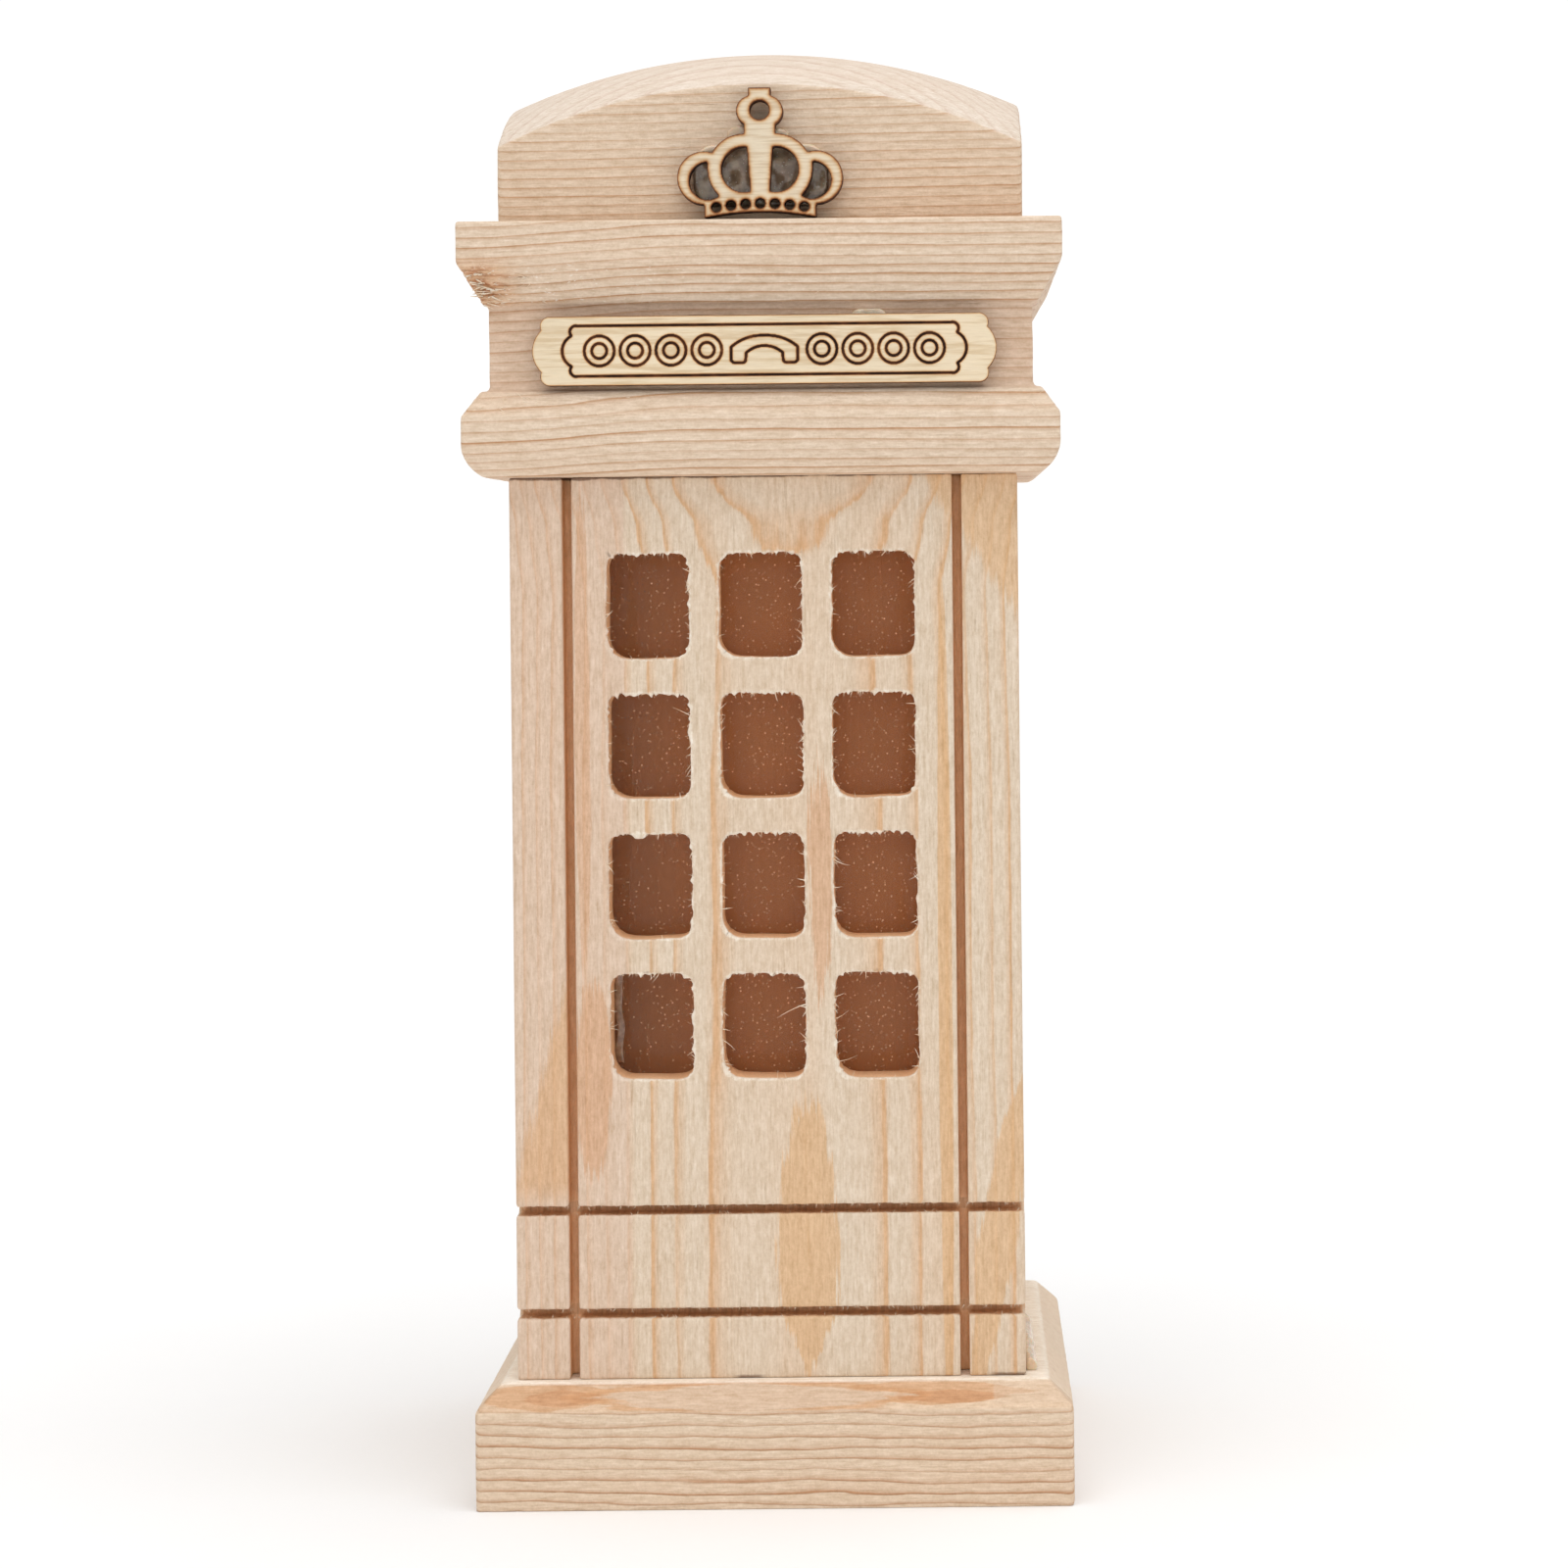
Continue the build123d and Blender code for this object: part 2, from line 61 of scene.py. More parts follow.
# ---- places that the CAD gives ---------------------------------------------------------
base_low, base_high = corners("base_board")
front_low, front_high = corners("front_panel")
pane_low, pane_high = corners("window_pane")
back_low, _ = corners("back_panel")
right_low, _ = corners("right_side_panel")
cornice_low, _ = corners("cornice_block")
roof_low, _ = corners("roof_block")
_, crown_high = corners("crown")
FRONT_Y = front_low[Y]
COLUMN_FOOT = front_low[Z]
CORNICE_Z = cornice_low[Z]
ROOF_Z = roof_low[Z]
CROWN_TOP = crown_high[Z]

# inside faces of the column
HOLLOW_HALF_WIDTH = right_low[X]
HOLLOW_FRONT = front_high[Y]
HOLLOW_BACK = back_low[Y]

# windows and grooves of the front board
WINDOW_HALF_SIZE = (5.65, 7.15)
WINDOW_PITCH = (15.15, 18.9)
LEFT_GROOVE_X = -26.5
LEVEL_GROOVES_Z = (25.45, 39.3)
GROOVE_WIDTH = 1.25
pane_centre = (pane_low + pane_high) / 2
window_centres = [
    (pane_centre[X] + WINDOW_PITCH[0] * column, pane_centre[Z] + WINDOW_PITCH[1] * row)
    for column in (-1, 0, 1)
    for row in (-1.5, -0.5, 0.5, 1.5)
]

BASE_CHAMFER = 3.4
# the sloping faces of the cornice, by height above its foot and half width there
LOWER_SLOPE = ((8.1, 40.05), (11.6, 37.6))
UPPER_SLOPE = ((23.1, 37.3), (28.7, 40.5))


# ---- node materials --------------------------------------------------------------------
def srgb(red, green, blue):
    """A colour given as 0 to 255, as linear light."""
    return tuple(
        c / 12.92 if c <= 0.04045 else ((c + 0.055) / 1.055) ** 2.4
        for c in (red / 255, green / 255, blue / 255)
    )


class Value:
    """A number in a node tree. Arithmetic on it adds Math nodes."""

    def __init__(self, graph, socket):
        self.graph = graph
        self.socket = socket

    def __add__(self, other):
        return self.graph.math("ADD", self, other)

    def __sub__(self, other):
        return self.graph.math("SUBTRACT", self, other)

    def __rsub__(self, other):
        return self.graph.math("SUBTRACT", other, self)

    def __mul__(self, other):
        return self.graph.math("MULTIPLY", self, other)

    def __truediv__(self, other):
        return self.graph.math("DIVIDE", self, other)

    __radd__ = __add__
    __rmul__ = __mul__

    def squared(self):
        return self * self

    def clamped(self):
        return self.graph.math("MINIMUM", self.graph.math("MAXIMUM", self, 0.0), 1.0)


class Graph:
    """One material. Its methods add nodes and return their outputs as Values."""

    def __init__(self, name):
        self.material = bpy.data.materials.new(name)
        self.material.use_nodes = True
        self.tree = self.material.node_tree
        self.shader = self.tree.nodes["Principled BSDF"]
        place = self.node("ShaderNodeVectorMath", operation="SCALE")
        coordinates = self.node("ShaderNodeTexCoord")
        self.tree.links.new(coordinates.outputs["Object"], place.inputs[0])
        place.inputs["Scale"].default_value = 1 / MM
        split = self.node("ShaderNodeSeparateXYZ")
        self.tree.links.new(place.outputs[0], split.inputs[0])
        self.axes = [Value(self, output) for output in split.outputs]

    def node(self, kind, **settings):
        """A new node with its settings made."""
        node = self.tree.nodes.new(kind)
        for setting, value in settings.items():
            setattr(node, setting, value)
        return node

    def feed(self, socket, value):
        """Links a Value to an input socket, or sets the socket to a plain number or colour."""
        if isinstance(value, Value):
            self.tree.links.new(value.socket, socket)
        elif socket.type == "RGBA":
            socket.default_value = (*value, 1)
        else:
            socket.default_value = value

    def result(self, kind, inputs, output=0, **settings):
        """Adds a node, feeds its inputs, and returns one of its outputs."""
        node = self.node(kind, **settings)
        for key, value in inputs.items():
            self.feed(node.inputs[key], value)
        return Value(self, node.outputs[output])

    def math(self, operation, *values):
        return self.result("ShaderNodeMath", dict(enumerate(values)), operation=operation)

    def vector(self, x, y, z):
        return self.result("ShaderNodeCombineXYZ", {"X": x, "Y": y, "Z": z})

    def noise(self, vector, scale, detail=2.0, roughness=0.5):
        inputs = {"Vector": vector, "Scale": scale, "Detail": detail, "Roughness": roughness}
        return self.result("ShaderNodeTexNoise", inputs)

    def spots(self, vector, scale):
        """Distance to the nearest of many scattered points."""
        return self.result("ShaderNodeTexVoronoi", {"Vector": vector, "Scale": scale}, "Distance")

    def chance(self, value):
        """A random number for each different value."""
        return self.result("ShaderNodeTexWhiteNoise", {"W": value}, "Value", noise_dimensions="1D")

    def step(self, value, start, end):
        """Rises smoothly from 0 at start to 1 at end."""
        inputs = dict(enumerate((value, start, end, 0.0, 1.0)))
        return self.result("ShaderNodeMapRange", inputs, interpolation_type="SMOOTHSTEP")

    def curve(self, value, points):
        """A smooth curve of value through points of (place, level)."""
        places, levels = zip(*points)
        low, high = min(levels), max(levels)
        part = (value - places[0]) / (places[-1] - places[0])
        stops = [
            ((place - places[0]) / (places[-1] - places[0]), ((level - low) / (high - low),) * 3)
            for place, level in points
        ]
        return self.ramp(part, stops, "EASE") * (high - low) + low

    def ramp(self, value, stops, interpolation="LINEAR"):
        node = self.node("ShaderNodeValToRGB")
        ramp = node.color_ramp
        ramp.interpolation = interpolation
        while len(ramp.elements) < len(stops):
            ramp.elements.new(0.5)
        for element, (position, colour) in zip(ramp.elements, stops):
            element.position = position
            element.color = (*colour, 1)
        self.feed(node.inputs[0], value)
        return Value(self, node.outputs[0])

    def mix(self, factor, first, second, blend="MIX"):
        """Two colours mixed. The Mix node takes colours in sockets 6 and 7, and gives one in 2."""
        settings = {"data_type": "RGBA", "blend_type": blend, "clamp_factor": True}
        return self.result("ShaderNodeMix", {0: factor, 6: first, 7: second}, 2, **settings)

    def facing_up(self):
        """1 where the surface looks straight up, 0 where it is upright."""
        split = self.node("ShaderNodeSeparateXYZ")
        self.tree.links.new(self.node("ShaderNodeNewGeometry").outputs["Normal"], split.inputs[0])
        return Value(self, split.outputs["Z"])

    def attribute(self, name):
        return self.result("ShaderNodeAttribute", {}, "Fac", attribute_name=name)

    def shade(self, colour, amount):
        """Colour made lighter or darker by a factor."""
        grey = self.vector(amount, amount, amount)
        return self.mix(1.0, colour, grey, "MULTIPLY")

    def textured(self, colour, tone):
        """Colour made whiter where tone is above 0, and browner where it is below."""
        change = self.vector(tone * 0.75 + 1.0, tone + 1.0, tone * 1.35 + 1.0)
        return self.mix(1.0, colour, change, "MULTIPLY")

    def bump(self, shader, height, depth):
        """Roughens a shader's surface. A height of 1 is depth millimetres."""
        bump = self.node("ShaderNodeBump")
        bump.inputs["Strength"].default_value = 1.0
        bump.inputs["Distance"].default_value = depth * MM
        self.feed(bump.inputs["Height"], height)
        self.tree.links.new(bump.outputs[0], shader.inputs["Normal"])

    def mix_shaders(self, factor, first, second):
        node = self.node("ShaderNodeMixShader")
        self.feed(node.inputs[0], factor)
        self.tree.links.new(first.outputs[0], node.inputs[1])
        self.tree.links.new(second.outputs[0], node.inputs[2])
        return node

    def finish(self, colour, roughness, height, depth):
        """Sets colour, roughness and bump, and returns the material."""
        self.bump(self.shader, height, depth)
        self.feed(self.shader.inputs["Base Color"], colour)
        self.feed(self.shader.inputs["Roughness"], roughness)
        return self.material


GRAIN_STRETCH = 16.0  # how much longer than wide the figures of the grain are
TUFT_STRETCH = 3.5  # the same for the short fibre ends that sanding raises


def pine(name, grain, rings, pale, late, marks, wander, spikes, contrast=1.0, relief=0.35,
         ripple=0.0, calm=None):
    """Planed pine. rings(g, x, y, z) counts growth rings, grain is the axis of the fibres, and
    marks(g, x, y, z) returns (colour, amount) pairs that are laid over the grain. The single
    fibres are left out where calm(g, x, y, z) is 1."""
    g = Graph(name)
    x, y, z = g.axes

    def drawn_out(stretch):
        return g.vector(*(axis / stretch if i == grain else axis for i, axis in enumerate(g.axes)))

    fibres = drawn_out(GRAIN_STRETCH)
    slow = g.noise(fibres, 0.06, 3.0) - 0.5
    middle = g.noise(fibres, 0.35, 3.0) - 0.5
    jagged = g.noise(fibres, 2.2, 3.0, 0.6) - 0.5
    waves = g.noise(drawn_out(5.0), 0.3, 2.0) - 0.5
    count = rings(g, x, y, z) + slow * wander + middle * (wander * 0.35) + jagged * spikes
    count = count + waves * ripple
    ring = g.math("FLOOR", count)
    phase = g.math("FRACT", count)
    # one ring darkens slowly from early to late wood, and ends sharply
    profile = g.curve(phase, ((0, 0.12), (0.1, 0.02), (0.55, 0.08), (0.78, 0.4), (0.94, 1), (1, 0.3)))
    depth_of_ring = g.chance(ring) * 0.55 + 0.45
    broken = g.step(g.noise(fibres, 0.5, 2.0), 0.2, 0.6)
    latewood = (profile * depth_of_ring * (broken * 0.5 + 0.5) * contrast).clamped()
    colour = g.mix(latewood, pale, late)
    # slow pinkish and yellowish bands
    band = g.step(g.noise(fibres, 0.11, 2.0), 0.35, 0.7)
    colour = g.mix(band * 0.6, colour, g.mix(1.0, colour, (1.0, 0.925, 0.87), "MULTIPLY"))
    for mark_colour, amount in marks(g, x, y, z):
        colour = g.mix(amount, colour, mark_colour)
    # single fibres, short tufts that catch the light, and short dark pores
    fine = g.noise(fibres, 3.6, 4.0, 0.7) - 0.5
    speckle = g.noise(g.vector(x, y, z), 2.6, 3.0, 0.7) - 0.5
    tufts = g.noise(drawn_out(TUFT_STRETCH), 1.9, 3.0, 0.65) - 0.5
    pores = g.step(g.noise(fibres, 1.7, 2.0, 0.55), 0.63, 0.74)
    tone = fine * 0.58 + tufts * 0.6 + speckle * 0.36 - pores * 0.09
    height = fine * 0.9 + tufts * 0.8 + speckle * 0.45 - pores * 0.4
    if calm:
        loud = 1.0 - calm(g, x, y, z)
        tone = tone * loud
        height = height * loud
    colour = g.textured(colour, tone)
    height = height + latewood * relief
    roughness = 0.62 + fine * 0.25 - latewood * 0.12
    g.shader.inputs["Specular IOR Level"].default_value = 0.35
    return g.finish(colour, roughness, height, 0.11)


def jagged_threads(g, x, z):
    """Noise of upright threads, about -0.5 to 0.5, for the torn ends of a patch."""
    return (g.noise(g.vector(x * 2.1, z * 0.07, 0.0), 1.0, 4.0, 0.75) - 0.5) * 1.5


def spiky(g, x, z, centre, half_size, fray):
    """Amount of a long patch of latewood with torn, pointed ends. It is widest at its centre."""
    offset = (x - centre[0]) / half_size[0]
    rise = (z - centre[1]) / half_size[1]
    torn = jagged_threads(g, x, z) * (2.6 * fray)
    return g.step(1.0 - offset.squared() - rise.squared() + torn, 0.0, 0.22)


def strip(g, place, middle, half_width, edge):
    """1 within half_width of the middle, falling to 0 over edge more on both sides."""
    return g.step(g.math("ABSOLUTE", place - middle), half_width + edge, half_width)


def front_rings(g, x, y, z):
    """Flat-sawn figure: arches about one upright line, with a tongue low down."""
    heart = 4.2
    ring_area = 138.0  # square of the distance from the heart that one more ring takes
    # how many rings nearer to the heart the surface lies, at each height
    lift = g.curve(
        z,
        ((16, 0.02), (35, 0.03), (50, 0.02), (62, -0.03), (80, -0.02), (96, 0.0),
         (110, -0.12), (122, -0.2), (131, 0.22), (138, 0.9)),
    )
    return (x - heart).squared() / ring_area - lift + (y - FRONT_Y) / 3.0 + 8.0


def window_rims(g, x, z):
    """Amount of the torn, whitish lip round each window."""
    pitch_x, pitch_z = WINDOW_PITCH
    half_width, half_height = WINDOW_HALF_SIZE
    off_x = x - pane_centre[X]
    off_z = z - pane_centre[Z]
    # distance past the nearest window's edges, below 0 inside it
    across = g.math("PINGPONG", off_x, pitch_x / 2) - half_width
    up = g.math("PINGPONG", off_z - pitch_z / 2, pitch_z / 2) - half_height
    corner = 2.0
    corner_x = g.math("MAXIMUM", across + corner, 0.0)
    corner_z = g.math("MAXIMUM", up + corner, 0.0)
    beyond = g.math("SQRT", corner_x.squared() + corner_z.squared()) - corner
    ragged = g.noise(g.vector(x, z, 0.0), 1.1, 3.0, 0.7) - 0.5
    rim = g.step(beyond + ragged * 1.3, 0.3, -0.1)
    margin = 1.0
    in_columns = g.math("LESS_THAN", g.math("ABSOLUTE", off_x), pitch_x + half_width + margin)
    in_rows = g.math("LESS_THAN", g.math("ABSOLUTE", off_z), pitch_z * 1.5 + half_height + margin)
    return rim * in_columns * in_rows * 0.7


def left_patch(g, x, z, threads):
    """Latewood between the left edge and the left groove. Its edge slants up to the right."""
    edge = (x + 33.5) * 0.27 - (z - 46.0) / 17.0 * 1.15
    above_groove = g.step(z, 39.0, 44.0)
    left_of_groove = g.step(x, LEFT_GROOVE_X + 0.2, LEFT_GROOVE_X - 0.2)
    return g.step(edge + threads * 0.8, -0.1, 0.25) * above_groove * left_of_groove


def low_right_patch(g, x, z, threads):
    """A patch at the lower right corner, which leans to the right."""
    half_width = g.curve(z, ((16, 1.2), (24, 1.8), (34, 2.7), (46, 2.2), (62, -0.5)))
    off_middle = g.math("ABSOLUTE", x - 28.3 - (z - 20.0) * 0.16)
    return g.step(half_width - off_middle + threads * 1.6, -0.1, 0.25)


def tongue_patch(g, x, z, threads):
    """The golden tongue below the windows, with its torn upper end."""
    half_width = g.curve(
        z, ((16, 0.1), (18.5, 0.5), (21, 2.0), (26, 3.8), (34, 4.3), (42, 3.7), (50, 2.4), (56, 1.7))
    )
    tongue = g.step(half_width - g.math("ABSOLUTE", x - 5.1) + threads * 2.8, -0.15, 0.2)
    return tongue * g.step(z + threads * 14.0, 53.9, 52.9)


def front_marks(g, x, y, z):
    """The patches of latewood, the torn lips and the raw wood of the front board."""
    golden = srgb(220, 178, 132)
    orange = srgb(212, 159, 116)
    threads = jagged_threads(g, x, z)
    surface = g.math("LESS_THAN", y, FRONT_Y + 0.6)
    left = left_patch(g, x, z, threads)
    top_right = g.step((x - 20.7) * 1.5 + (z - 138.0) + threads * 7.0, 0.0, 3.0)
    pink_left = g.step(x + threads, -18.2, -19.2)
    patches = (
        (srgb(245, 233, 216), window_rims(g, x, z)),
        (srgb(220, 189, 166), pink_left * 0.55),
        (orange, left * 0.45),
        (golden, left * 0.45),
        (orange, spiky(g, x, z, (-23.6, 57.0), (2.6, 14.0), 0.5) * 0.6),
        (golden, top_right * 0.68),
        (golden, spiky(g, x, z, (23.9, 66.0), (1.0, 62.0), 0.25) * 0.75),
        (golden, low_right_patch(g, x, z, threads) * 0.72),
        (golden, tongue_patch(g, x, z, threads) * 0.74),
        (orange, spiky(g, x, z, (7.2, 84.0), (1.7, 16.0), 0.8) * 0.6),
        (orange, spiky(g, x, z, (-24.6, 104.0), (1.1, 34.0), 0.5) * 0.45),
    )
    on_surface = tuple((colour, amount * surface) for colour, amount in patches)
    return on_surface + groove_marks(g, x, z, threads, 1.0 - surface) + shaded_glue_gaps(g, x, z)


def groove_marks(g, x, z, threads, below_surface):
    """The raw wood inside the grooves and windows. The board's outer sides are left out."""
    middle_x = (front_low[X] + front_high[X]) / 2
    half_width = (front_high[X] - front_low[X]) / 2
    sunk = below_surface * strip(g, x, middle_x, half_width - 0.5, 0.2)
    # end grain shows on the floors of the level grooves
    end_grain = g.mix(threads * 1.8 + 0.5, srgb(200, 154, 116), srgb(244, 200, 156))
    level = sum(strip(g, z, groove_z, GROOVE_WIDTH / 2, 0.2) for groove_z in LEVEL_GROOVES_Z)
    return (srgb(250, 203, 156), sunk * 0.85), (end_grain, level * sunk * 0.9)


def shaded_glue_gaps(g, x, z):
    """Painted shade of the gaps left in the glue lines, under the cornice and at two places of the
    foot.
    """
    uneven = g.noise(g.vector(x * 0.22, 0.0, 0.0), 1.0, 3.0, 0.6)
    top_gap_shade = g.step(z - uneven * 1.1 - x * 0.006, CORNICE_Z - 0.85, CORNICE_Z - 0.65)
    foot_places = strip(g, x, -3.0, 1.0, 1.5) + strip(g, x, 32.0, 1.5, 1.5)
    foot_gap_shade = g.step(z + uneven * 0.4, COLUMN_FOOT + 0.75, COLUMN_FOOT + 0.45) * foot_places
    return (srgb(92, 62, 44), top_gap_shade * 0.75), (srgb(110, 76, 54), foot_gap_shade * 0.7)


def arc_rings(centre_y, centre_z, width, tilt):
    """Rings about a line along X, as in a block sawn some way out from the heart. tilt is how
    far the rings sink at places along X."""

    def rings(g, x, y, z):
        lifted = z + g.curve(x, tilt)
        reach = (y - centre_y).squared() + (lifted - centre_z).squared()
        return g.math("SQRT", reach) / width

    return rings


def board_rings(centre, area, depth, face_axis):
    """Rings of an upright board whose face looks along X or along Y."""

    def rings(g, x, y, z):
        across, into = (y, x) if face_axis == X else (x, y)
        return (across - centre).squared() / area + into / depth + z / 90.0 + 20.0

    return rings


def inside_column(g, x, y, z):
    """1 on the faces that look into the column, 0 elsewhere."""
    between = g.step(g.math("ABSOLUTE", x), HOLLOW_HALF_WIDTH + 0.6, HOLLOW_HALF_WIDTH + 0.3)
    before_back = g.step(y, HOLLOW_BACK + 0.7, HOLLOW_BACK + 0.4)
    behind_front = g.step(y, HOLLOW_FRONT - 0.4, HOLLOW_FRONT - 0.1)
    return between * before_back * behind_front


def inner_faces(g, x, y, z):
    """The inside of the column was never sanded, and is browner."""
    streaks = g.noise(g.vector(x * 0.3, y * 0.3, z * 0.01), 1.0, 3.0)
    brown = g.mix(streaks, srgb(240, 160, 98), srgb(252, 186, 124))
    return ((brown, inside_column(g, x, y, z) * 0.94),)


def lens(g, along, across, centre, half_size):
    """Amount of a long pointed oval with a slightly torn outline."""
    offset = g.math("ABSOLUTE", (along - centre[0]) / half_size[0])
    rise = (across - centre[1]) / half_size[1]
    torn = g.noise(g.vector(along * 0.12, across * 3.0, 0.0), 1.0, 3.0, 0.65) - 0.5
    return g.step(1.0 - offset - rise.squared() + torn * 0.9, 0.0, 0.15)


def base_marks(g, x, y, z):
    """Where the front chamfer runs along a growth ring, the ring shows as long pointed ovals."""
    share = (z - (base_high[Z] - BASE_CHAMFER)) / BASE_CHAMFER  # of the way up the chamfer
    chamfer = g.step(share, -0.06, 0.04) * g.step(share, 1.04, 0.98)
    in_front = chamfer * g.step(y, base_low[Y] + 4.4, base_low[Y] + 4.0)
    # painted top light: the top face of the base is made paler, as if more light fell on it
    top = g.step(z, base_high[Z] - 0.5, base_high[Z] - 0.1)
    end_patch = g.step(x, 29.6, 30.0) * g.step(share, 0.1, 0.2)
    tan = srgb(208, 156, 110)
    core = srgb(196, 134, 86)
    grey_pink = srgb(216, 189, 163)
    ovals = (
        (tan, (-30.0, 0.5), (11.0, 0.5), 0.6),
        (tan, (21.0, 0.55), (14.0, 0.45), 0.65),
        (tan, (-3.0, 0.45), (26.0, 0.66), 0.6),
        (core, (-28.0, 0.45), (6.0, 0.3), 0.4),
        (core, (24.0, 0.4), (8.0, 0.25), 0.5),
        (core, (-6.0, 0.93), (30.0, 0.12), 0.4),
        (grey_pink, (-3.0, 0.42), (21.0, 0.5), 0.9),
    )
    return (
        (srgb(222, 188, 154), in_front * 0.4),
        (srgb(242, 224, 202), (chamfer - in_front) * 0.5),
        *((colour, lens(g, x, share, centre, half_size) * in_front * strength)
          for colour, centre, half_size, strength in ovals),
        (grey_pink, end_patch * in_front * 0.5),
        # painted top light on the top face
        (srgb(248, 236, 220), top * 0.8),
    )


def roof_painted_top_light(g, x, y, z):
    """Painted top light: the dome is made paler where its surface faces up."""
    dome = g.step(g.facing_up(), 0.35, 0.65)
    return ((srgb(234, 227, 219), dome * 0.42),)


def cornice_marks(g, x, y, z):
    """The band between the mouldings darkened with painted shade from the upper moulding, torn grain
    and splits at the left end of the upper moulding, and white flecks of fibre, partly painted glints,
    on the slopes.
    """
    height = z - CORNICE_Z
    fascia_painted_shade = g.step(height, 11.0, 11.8) * g.step(height, 23.6, 22.8)
    slope = g.step(height, 22.5, 24.0) * g.step(height, 30.0, 27.0)
    left = g.step(x, -31.0, -37.0) * g.step(y, -31.0, -36.0)
    near_left = g.step(x, 12.0, -34.0)
    torn = g.step(g.noise(g.vector(x * 0.22, y, z * 1.8), 1.0, 4.0, 0.75), 0.46, 0.6)
    # white flecks of raised fibre on the slopes, whitened further as painted glints
    fibres = g.step(g.noise(g.vector(x * 0.7, y * 1.5, z * 2.4), 1.6, 2.0), 0.66, 0.72)
    return (
        # painted shade: the band under the upper moulding made darker
        (srgb(205, 168, 142), fascia_painted_shade * 0.35),
        (srgb(222, 172, 124), slope * left * 0.6),
        (srgb(168, 100, 56), slope * left * torn * 0.8),
        (srgb(250, 244, 234), slope * fibres * (near_left * 0.55 + 0.15)),
    )


def plywood(name, pale, dark, line_pitch):
    """Laser-cut plywood: fine level grain, and scorched where the burn attribute says."""
    g = Graph(name)
    x, y, z = g.axes
    fibres = g.vector(x / 14.0, y, z)
    lines = g.noise(fibres, 1.0 / line_pitch, 3.0, 0.6)
    fine = g.noise(fibres, 6.0, 3.0, 0.7) - 0.5
    plies = g.step(g.noise(g.vector(x * 0.05, y * 2.2, z * 0.05), 1.0, 1.0), 0.4, 0.6)
    colour = g.mix(g.step(lines, 0.42, 0.66), pale, dark)
    colour = g.shade(colour, fine * 0.22 + plies * 0.04 + 1.0)
    burn = g.attribute("burn")
    smoke = g.noise(g.vector(x, y, z), 1.6, 3.0, 0.65) - 0.5
    heat = (burn + smoke * 0.22 * g.step(burn, 0.02, 0.3)).clamped()
    scorch = g.ramp(
        heat,
        ((0.0, (1, 1, 1)), (0.25, srgb(240, 216, 186)), (0.5, srgb(190, 134, 90)),
         (0.75, srgb(100, 62, 42)), (1.0, srgb(56, 36, 28))),
    )
    colour = g.mix(1.0, colour, scorch, "MULTIPLY")
    height = fine + lines * 0.5 - burn * 0.4
    g.shader.inputs["Specular IOR Level"].default_value = 0.3
    return g.finish(colour, 0.6 + fine * 0.2 + burn * 0.15, height, 0.06)


def past_crown(g, x, z):
    """1 where the glue shows beyond the neck and shoulders of the crown, and lets pine through."""
    neck = g.step(z, CROWN_TOP - 7.7, CROWN_TOP - 7.2)
    beside_neck = g.step(g.math("ABSOLUTE", x), 5.3, 5.7)
    shoulders = beside_neck * g.step(z, CROWN_TOP - 9.2, CROWN_TOP - 8.8)
    return g.math("MAXIMUM", neck, shoulders)


def clear_glue(name, colour, cloud, gloss=0.6, bubbly=0.5, pine_through=None):
    """Dried hot glue: glossy, slightly milky, with small bubbles and dust."""
    g = Graph(name)
    x, y, z = g.axes
    place = g.vector(x, y, z)
    milk = g.noise(place, 0.7, 3.0)
    bubbles = g.step(g.spots(place, 1.9), 0.16, 0.08)
    shade = g.mix(g.step(milk, 0.35, 0.7), colour, cloud)
    shade = g.mix(bubbles * bubbly, shade, srgb(240, 236, 226))
    if pine_through:
        shade = g.mix(pine_through(g, x, z) * 0.9, shade, srgb(220, 194, 164))
    g.shader.inputs["Coat Weight"].default_value = gloss
    g.shader.inputs["Coat Roughness"].default_value = 0.06
    g.shader.inputs["Subsurface Weight"].default_value = 0.25
    g.shader.inputs["Subsurface Scale"].default_value = 0.6 * MM
    return g.finish(shade, 0.16 + milk * 0.14 + bubbles * 0.2, milk + bubbles * 0.2, 0.12)


def pane_material():
    """Clear plastic pane: see-through, glossy, with sawdust and a haze on it."""
    g = Graph("dusty_pane")
    x, y, z = g.axes
    place = g.vector(x, y, z)
    haze = g.noise(place, 0.12, 3.0)
    grains = g.step(g.spots(place, 1.5), 0.22, 0.12)
    uneven = g.noise(place, 0.9, 2.0) * 1.2
    streaks = g.noise(g.vector(x * 0.7, 0.0, z * 0.02), 1.0, 3.0) - 0.5
    less_on_left = g.step(x, -24.0, -6.0) * 0.17
    film = 0.09 + haze * 0.08 + streaks * 0.14 + less_on_left
    dust = (film + grains * uneven.squared()).clamped()
    ripples = g.noise(g.vector(x * 0.5, y, z * 0.12), 0.6, 1.0)
    fresnel = g.result("ShaderNodeFresnel", {"IOR": 1.3})
    clear = g.node("ShaderNodeBsdfTransparent")
    clear.inputs["Color"].default_value = (0.97, 0.965, 0.95, 1)
    gloss = g.node("ShaderNodeBsdfGlossy")
    gloss.inputs["Roughness"].default_value = 0.07
    g.bump(gloss, ripples, 0.5)
    surface = g.mix_shaders(fresnel, clear, gloss)
    g.feed(g.shader.inputs["Base Color"], g.mix(grains, srgb(222, 146, 90), srgb(236, 200, 164)))
    g.feed(g.shader.inputs["Roughness"], 0.6 + haze * 0.3)
    dusty = g.mix_shaders(dust, surface, g.shader)
    g.tree.links.new(dusty.outputs[0], g.tree.nodes["Material Output"].inputs["Surface"])
    return g.material


